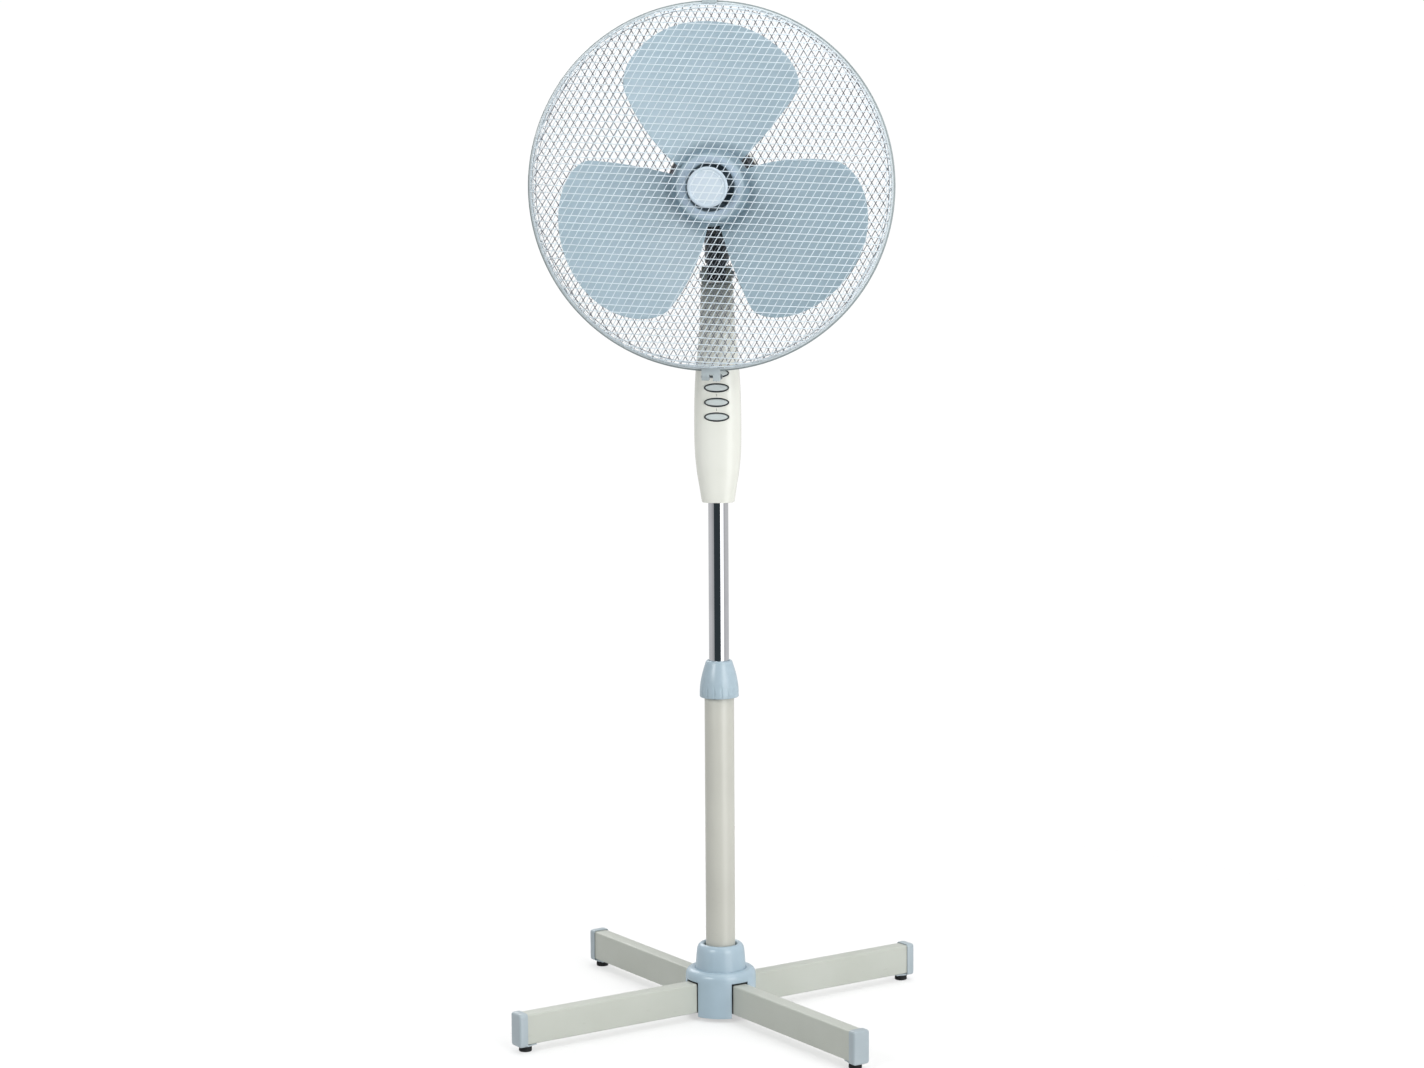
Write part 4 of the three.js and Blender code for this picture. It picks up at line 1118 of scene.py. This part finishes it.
def guard_badge():
    """The round badge: a raised rim, a fine inner ring and a gently domed face."""
    low, high = box_of("guard_badge")
    back, front, wide = high.y, low.y, high.x
    rings = [(wide - 0.5, back), (wide, back - 0.5), (wide, front + 2.6), (wide - 0.4, front + 1.2),
             (wide - 1.2, front + 0.3), (wide - 2, front), (wide - 2.9, front + 0.2),
             (wide - 3.5, front + 0.9), (18.9, front + 1.1), (18.5, front + 0.8), (17.9, front + 0.8),
             (17.5, front + 1.1), (12, front + 0.75), (6, front + 0.55), (0, front + 0.5)]
    badge = turned(rings, axis="Y", centre=HEAD, sides=96)
    finish(badge, "guard_badge", "badge_plastic", "head", "guard_badge")


def badge_plate():
    """The disc behind the mesh that the badge is clipped to."""
    low, high = box_of("badge_plate")
    front = low.y + 1.6
    rings = [(high.x - 0.4, front), (high.x, front + 0.4), (high.x, front + 1.4),
             (high.x - 0.4, front + 1.8), (4, front + 1.8), (3, front + 2.4), (3, high.y - 0.3),
             (2.6, high.y)]
    plate = turned(rings, axis="Y", centre=HEAD, sides=64)
    finish(plate, "badge_plate", "badge_plastic", "head", "badge_plate")


def rear_plate():
    """The pressed ring in the middle of the rear mesh, which the nut clamps to the motor."""
    rings = [(20.6, -62.9), (36.4, -62.9), (37, -62.6), (37, -61.6), (36.4, -61.3), (20.6, -61.3)]
    plate = turned(rings, axis="Y", centre=HEAD, sides=96, loop=True)
    finish(plate, "rear_plate", "rear_wire", "head", "rear_guard")


def guard_nut():
    """The ribbed nut that holds the rear guard on the motor."""
    low, high = box_of("guard_nut")
    rings = [(20, high.y), (32.6, high.y), (high.x, high.y - 0.4), (high.x, low.y + 3), (32.4, low.y + 1.4),
             (31, low.y + 0.3), (30, low.y), (20.6, low.y), (20, low.y + 0.6)]
    nut = turned(rings, axis="Y", centre=HEAD, sides=96, loop=True)
    grips = [turned([(2.2, high.y - 1.6), (2.2, low.y - 2)], axis="Y", centre=centre, sides=20)
             for centre in around(HEAD, 34.2, 20)]
    finish(carve(nut, *grips), "guard_nut", "dark_plastic", "head", "guard_nut", smooth=45)


def rim_room():
    """A cutter that makes room for both rims."""
    radius, reach = RIM_RADIUS + GAP, RIM_DEPTH + GAP
    return turned([(radius, RIM_Y - reach), (radius, RIM_Y + reach)], axis="Y", centre=HEAD, sides=192)


def guard_clip():
    """The clip under the rims: a ribbed lug and a tab, joined by a saddle that hooks over both rims."""
    low, high = box_of("guard_clip")
    saddle_foot = 818.6
    lug_top = saddle_foot + 1.8
    saddle = block((low.x, low.y, saddle_foot), (high.x, high.y, high.z), 0.6)
    lug = block((low.x, low.y, low.z + 1), (-2.8, high.y, lug_top), 0.6)
    starts = [low.x + 1.2 + 2.1 * k for k in range(4)]
    carve(lug, *[block((x, low.y - 2, low.z - 1), (x + 0.7, low.y + 0.6, 817)) for x in starts])
    tab = block((1.6, low.y, low.z), (high.x, high.y, lug_top), 1.0, 3)
    clip = carve(saddle, lug, tab, operation="UNION")
    hole = turned([(1.9, -30), (1.9, 30)], axis="X", centre=(RIM_Y, 815.4), sides=32)
    finish(carve(clip, rim_room(), hole), "guard_clip", "clip_plastic", "head", "guard_clip")


def clip_screw():
    """The round-headed screw through the clip's lug and tab."""
    low, high = box_of("guard_clip_screw")
    rings = [(1.6, low.x), (1.6, high.x - 2), (2.8, high.x - 2), (3, high.x - 1.6), (2.9, high.x - 0.7),
             (2.3, high.x - 0.1), (1.4, high.x)]
    screw = turned(rings, axis="X", centre=(RIM_Y, (low.z + high.z) / 2), sides=40)
    finish(screw, "guard_clip_screw", "steel", "head", "guard_clip_screw")


def guard_hook():
    """The hook over the top of both rims."""
    low, high = box_of("guard_hook")
    hook = carve(block(low, high, 0.9, 3), rim_room())
    finish(hook, "guard_hook", "clip_plastic", "head", "guard_hook")


rim("front_rim", -1, FRONT_RIM_RADIUS, "front_guard")
rim("rear_rim", 1, RIM_RADIUS, "rear_guard")
wires("front_wires_level", *FRONT_MESH["level"], FRONT_DEPTH, -1, CROSSING, 1.24)
wires("front_wires_slanted", *FRONT_MESH["slanted"], FRONT_DEPTH, -1, -CROSSING, 1.06)
wires("rear_wires_rising", 60, 8.3, REAR_DEPTH, 1, CROSSING, 1.14, REAR_HOLE, "rear_wire")
wires("rear_wires_falling", -60, 8.3, REAR_DEPTH, 1, -CROSSING, 1.14, REAR_HOLE, "rear_wire")
hoops("front_hoops", [210, 213.6], FRONT_DEPTH, -1, "wire", "front_guard")
hoops("rear_hoops", [212.4], REAR_DEPTH, 1, "rear_wire", "rear_guard")
guard_badge()
badge_plate()
rear_plate()
guard_nut()
guard_clip()
clip_screw()
guard_hook()

# ---------------------------------------------------------------- impeller
HUB_RADIUS = 47
BLADE_ROOT = 43  # inside the hub's wall
BLADE_TIP = 196
BLADE_CORNER = 150  # how far out the blade's two outer corners are
TIP_PEAK = 0.6  # where the blade reaches out furthest, as a share of the way across it
BLADE_THICK = 2
BLADE_Y = -106


def blade_point(across, along):
    """A point of the blade's middle surface. across runs from the leading to the trailing edge."""
    offset = (across - TIP_PEAK) / (TIP_PEAK if across < TIP_PEAK else 1 - TIP_PEAK)
    tip = BLADE_CORNER + (BLADE_TIP - BLADE_CORNER) * math.sqrt(max(1 - offset ** 2, 0))
    radius = BLADE_ROOT + (tip - BLADE_ROOT) * along
    leading = 42 + (radius - 50) * 0.055  # headings of the edges at this radius, in degrees
    trailing = 146 - (radius - 45) * 0.137
    angle = math.radians(leading + (trailing - leading) * across)
    drop = 38 + (radius - HUB_RADIUS) * 0.1  # front to back, from edge to edge
    camber = 5 * (1 - (2 * across - 1) ** 2)
    y = BLADE_Y + drop * (0.5 - across) + camber
    return Vector((radius * math.cos(angle), y, HEAD_Z + radius * math.sin(angle))) * MM


def blade():
    """A grid laid on the blade's warped outline, given its thickness and rounded along its edges."""
    piece = settle(start("grid", x_subdivisions=36, y_subdivisions=16, size=1))
    for vertex in piece.data.vertices:
        across = (1 - math.cos(math.pi * (vertex.co.x + 0.5))) / 2
        vertex.co = blade_point(across, vertex.co.y + 0.5)
    modify(piece, "SOLIDIFY", thickness=BLADE_THICK * MM, offset=0)
    return round_edges(piece, 0.7, 3, 60)


def impeller():
    """The hub with its front ridge and deep well, and three blades grown out of its wall."""
    outside = [(46.6, -83), (47, -83.6), (47, -112.4), (46.7, -114.6), (45.6, -117.8), (44, -121),
               (42, -123.4), (39.6, -125), (36.6, -125.9), (33.4, -126), (31, -125.4), (29.7, -124),
               (29, -121), (28.4, -117), (27.8, -96.4), (26.8, -95), (10.6, -95), (9.6, -96),
               (9.2, -114.4), (8.6, -115), (4.9, -115)]
    inside = [(4.4, -114.4), (4.4, -92), (29.6, -92), (30.4, -93), (31, -116), (32.6, -119.6), (36, -121.8),
              (40, -120.4), (43, -116.4), (44.5, -109), (44.5, -83)]
    hub = turned(outside + inside, axis="Y", centre=HEAD, sides=96, loop=True)
    first = blade()
    blades = [turn(twin(first), 120 * i, "Y", (0, 0, HEAD_Z)) for i in range(3)]
    bpy.data.objects.remove(first)
    carve(hub, *blades, operation="UNION")
    finish(hub, "impeller", "blade_plastic", "spinner", "impeller", smooth=40)


def blade_nut():
    """The domed nut on the shaft, with finger grips."""
    low, high = box_of("blade_nut")
    rings = [(13, high.y), (14, high.y - 2), (14, high.y - 3), (13.4, -125), (12.6, -127.6), (11, -129.2),
             (8, low.y + 0.1), (3, low.y), (0, low.y)]
    nut = turned(rings, axis="Y", centre=HEAD, sides=64)
    shaft_hole = turned([(4.2, -110), (4.2, -126.5)], axis="Y", centre=HEAD, sides=40)
    grips = [turned([(2.6, high.y + 2), (2.6, -127)], axis="Y", centre=centre, sides=20)
             for centre in around(HEAD, 15.4, 8)]
    finish(carve(nut, shaft_hole, *grips), "blade_nut", "blue_plastic", "spinner", "blade_nut", smooth=45)


impeller()
blade_nut()
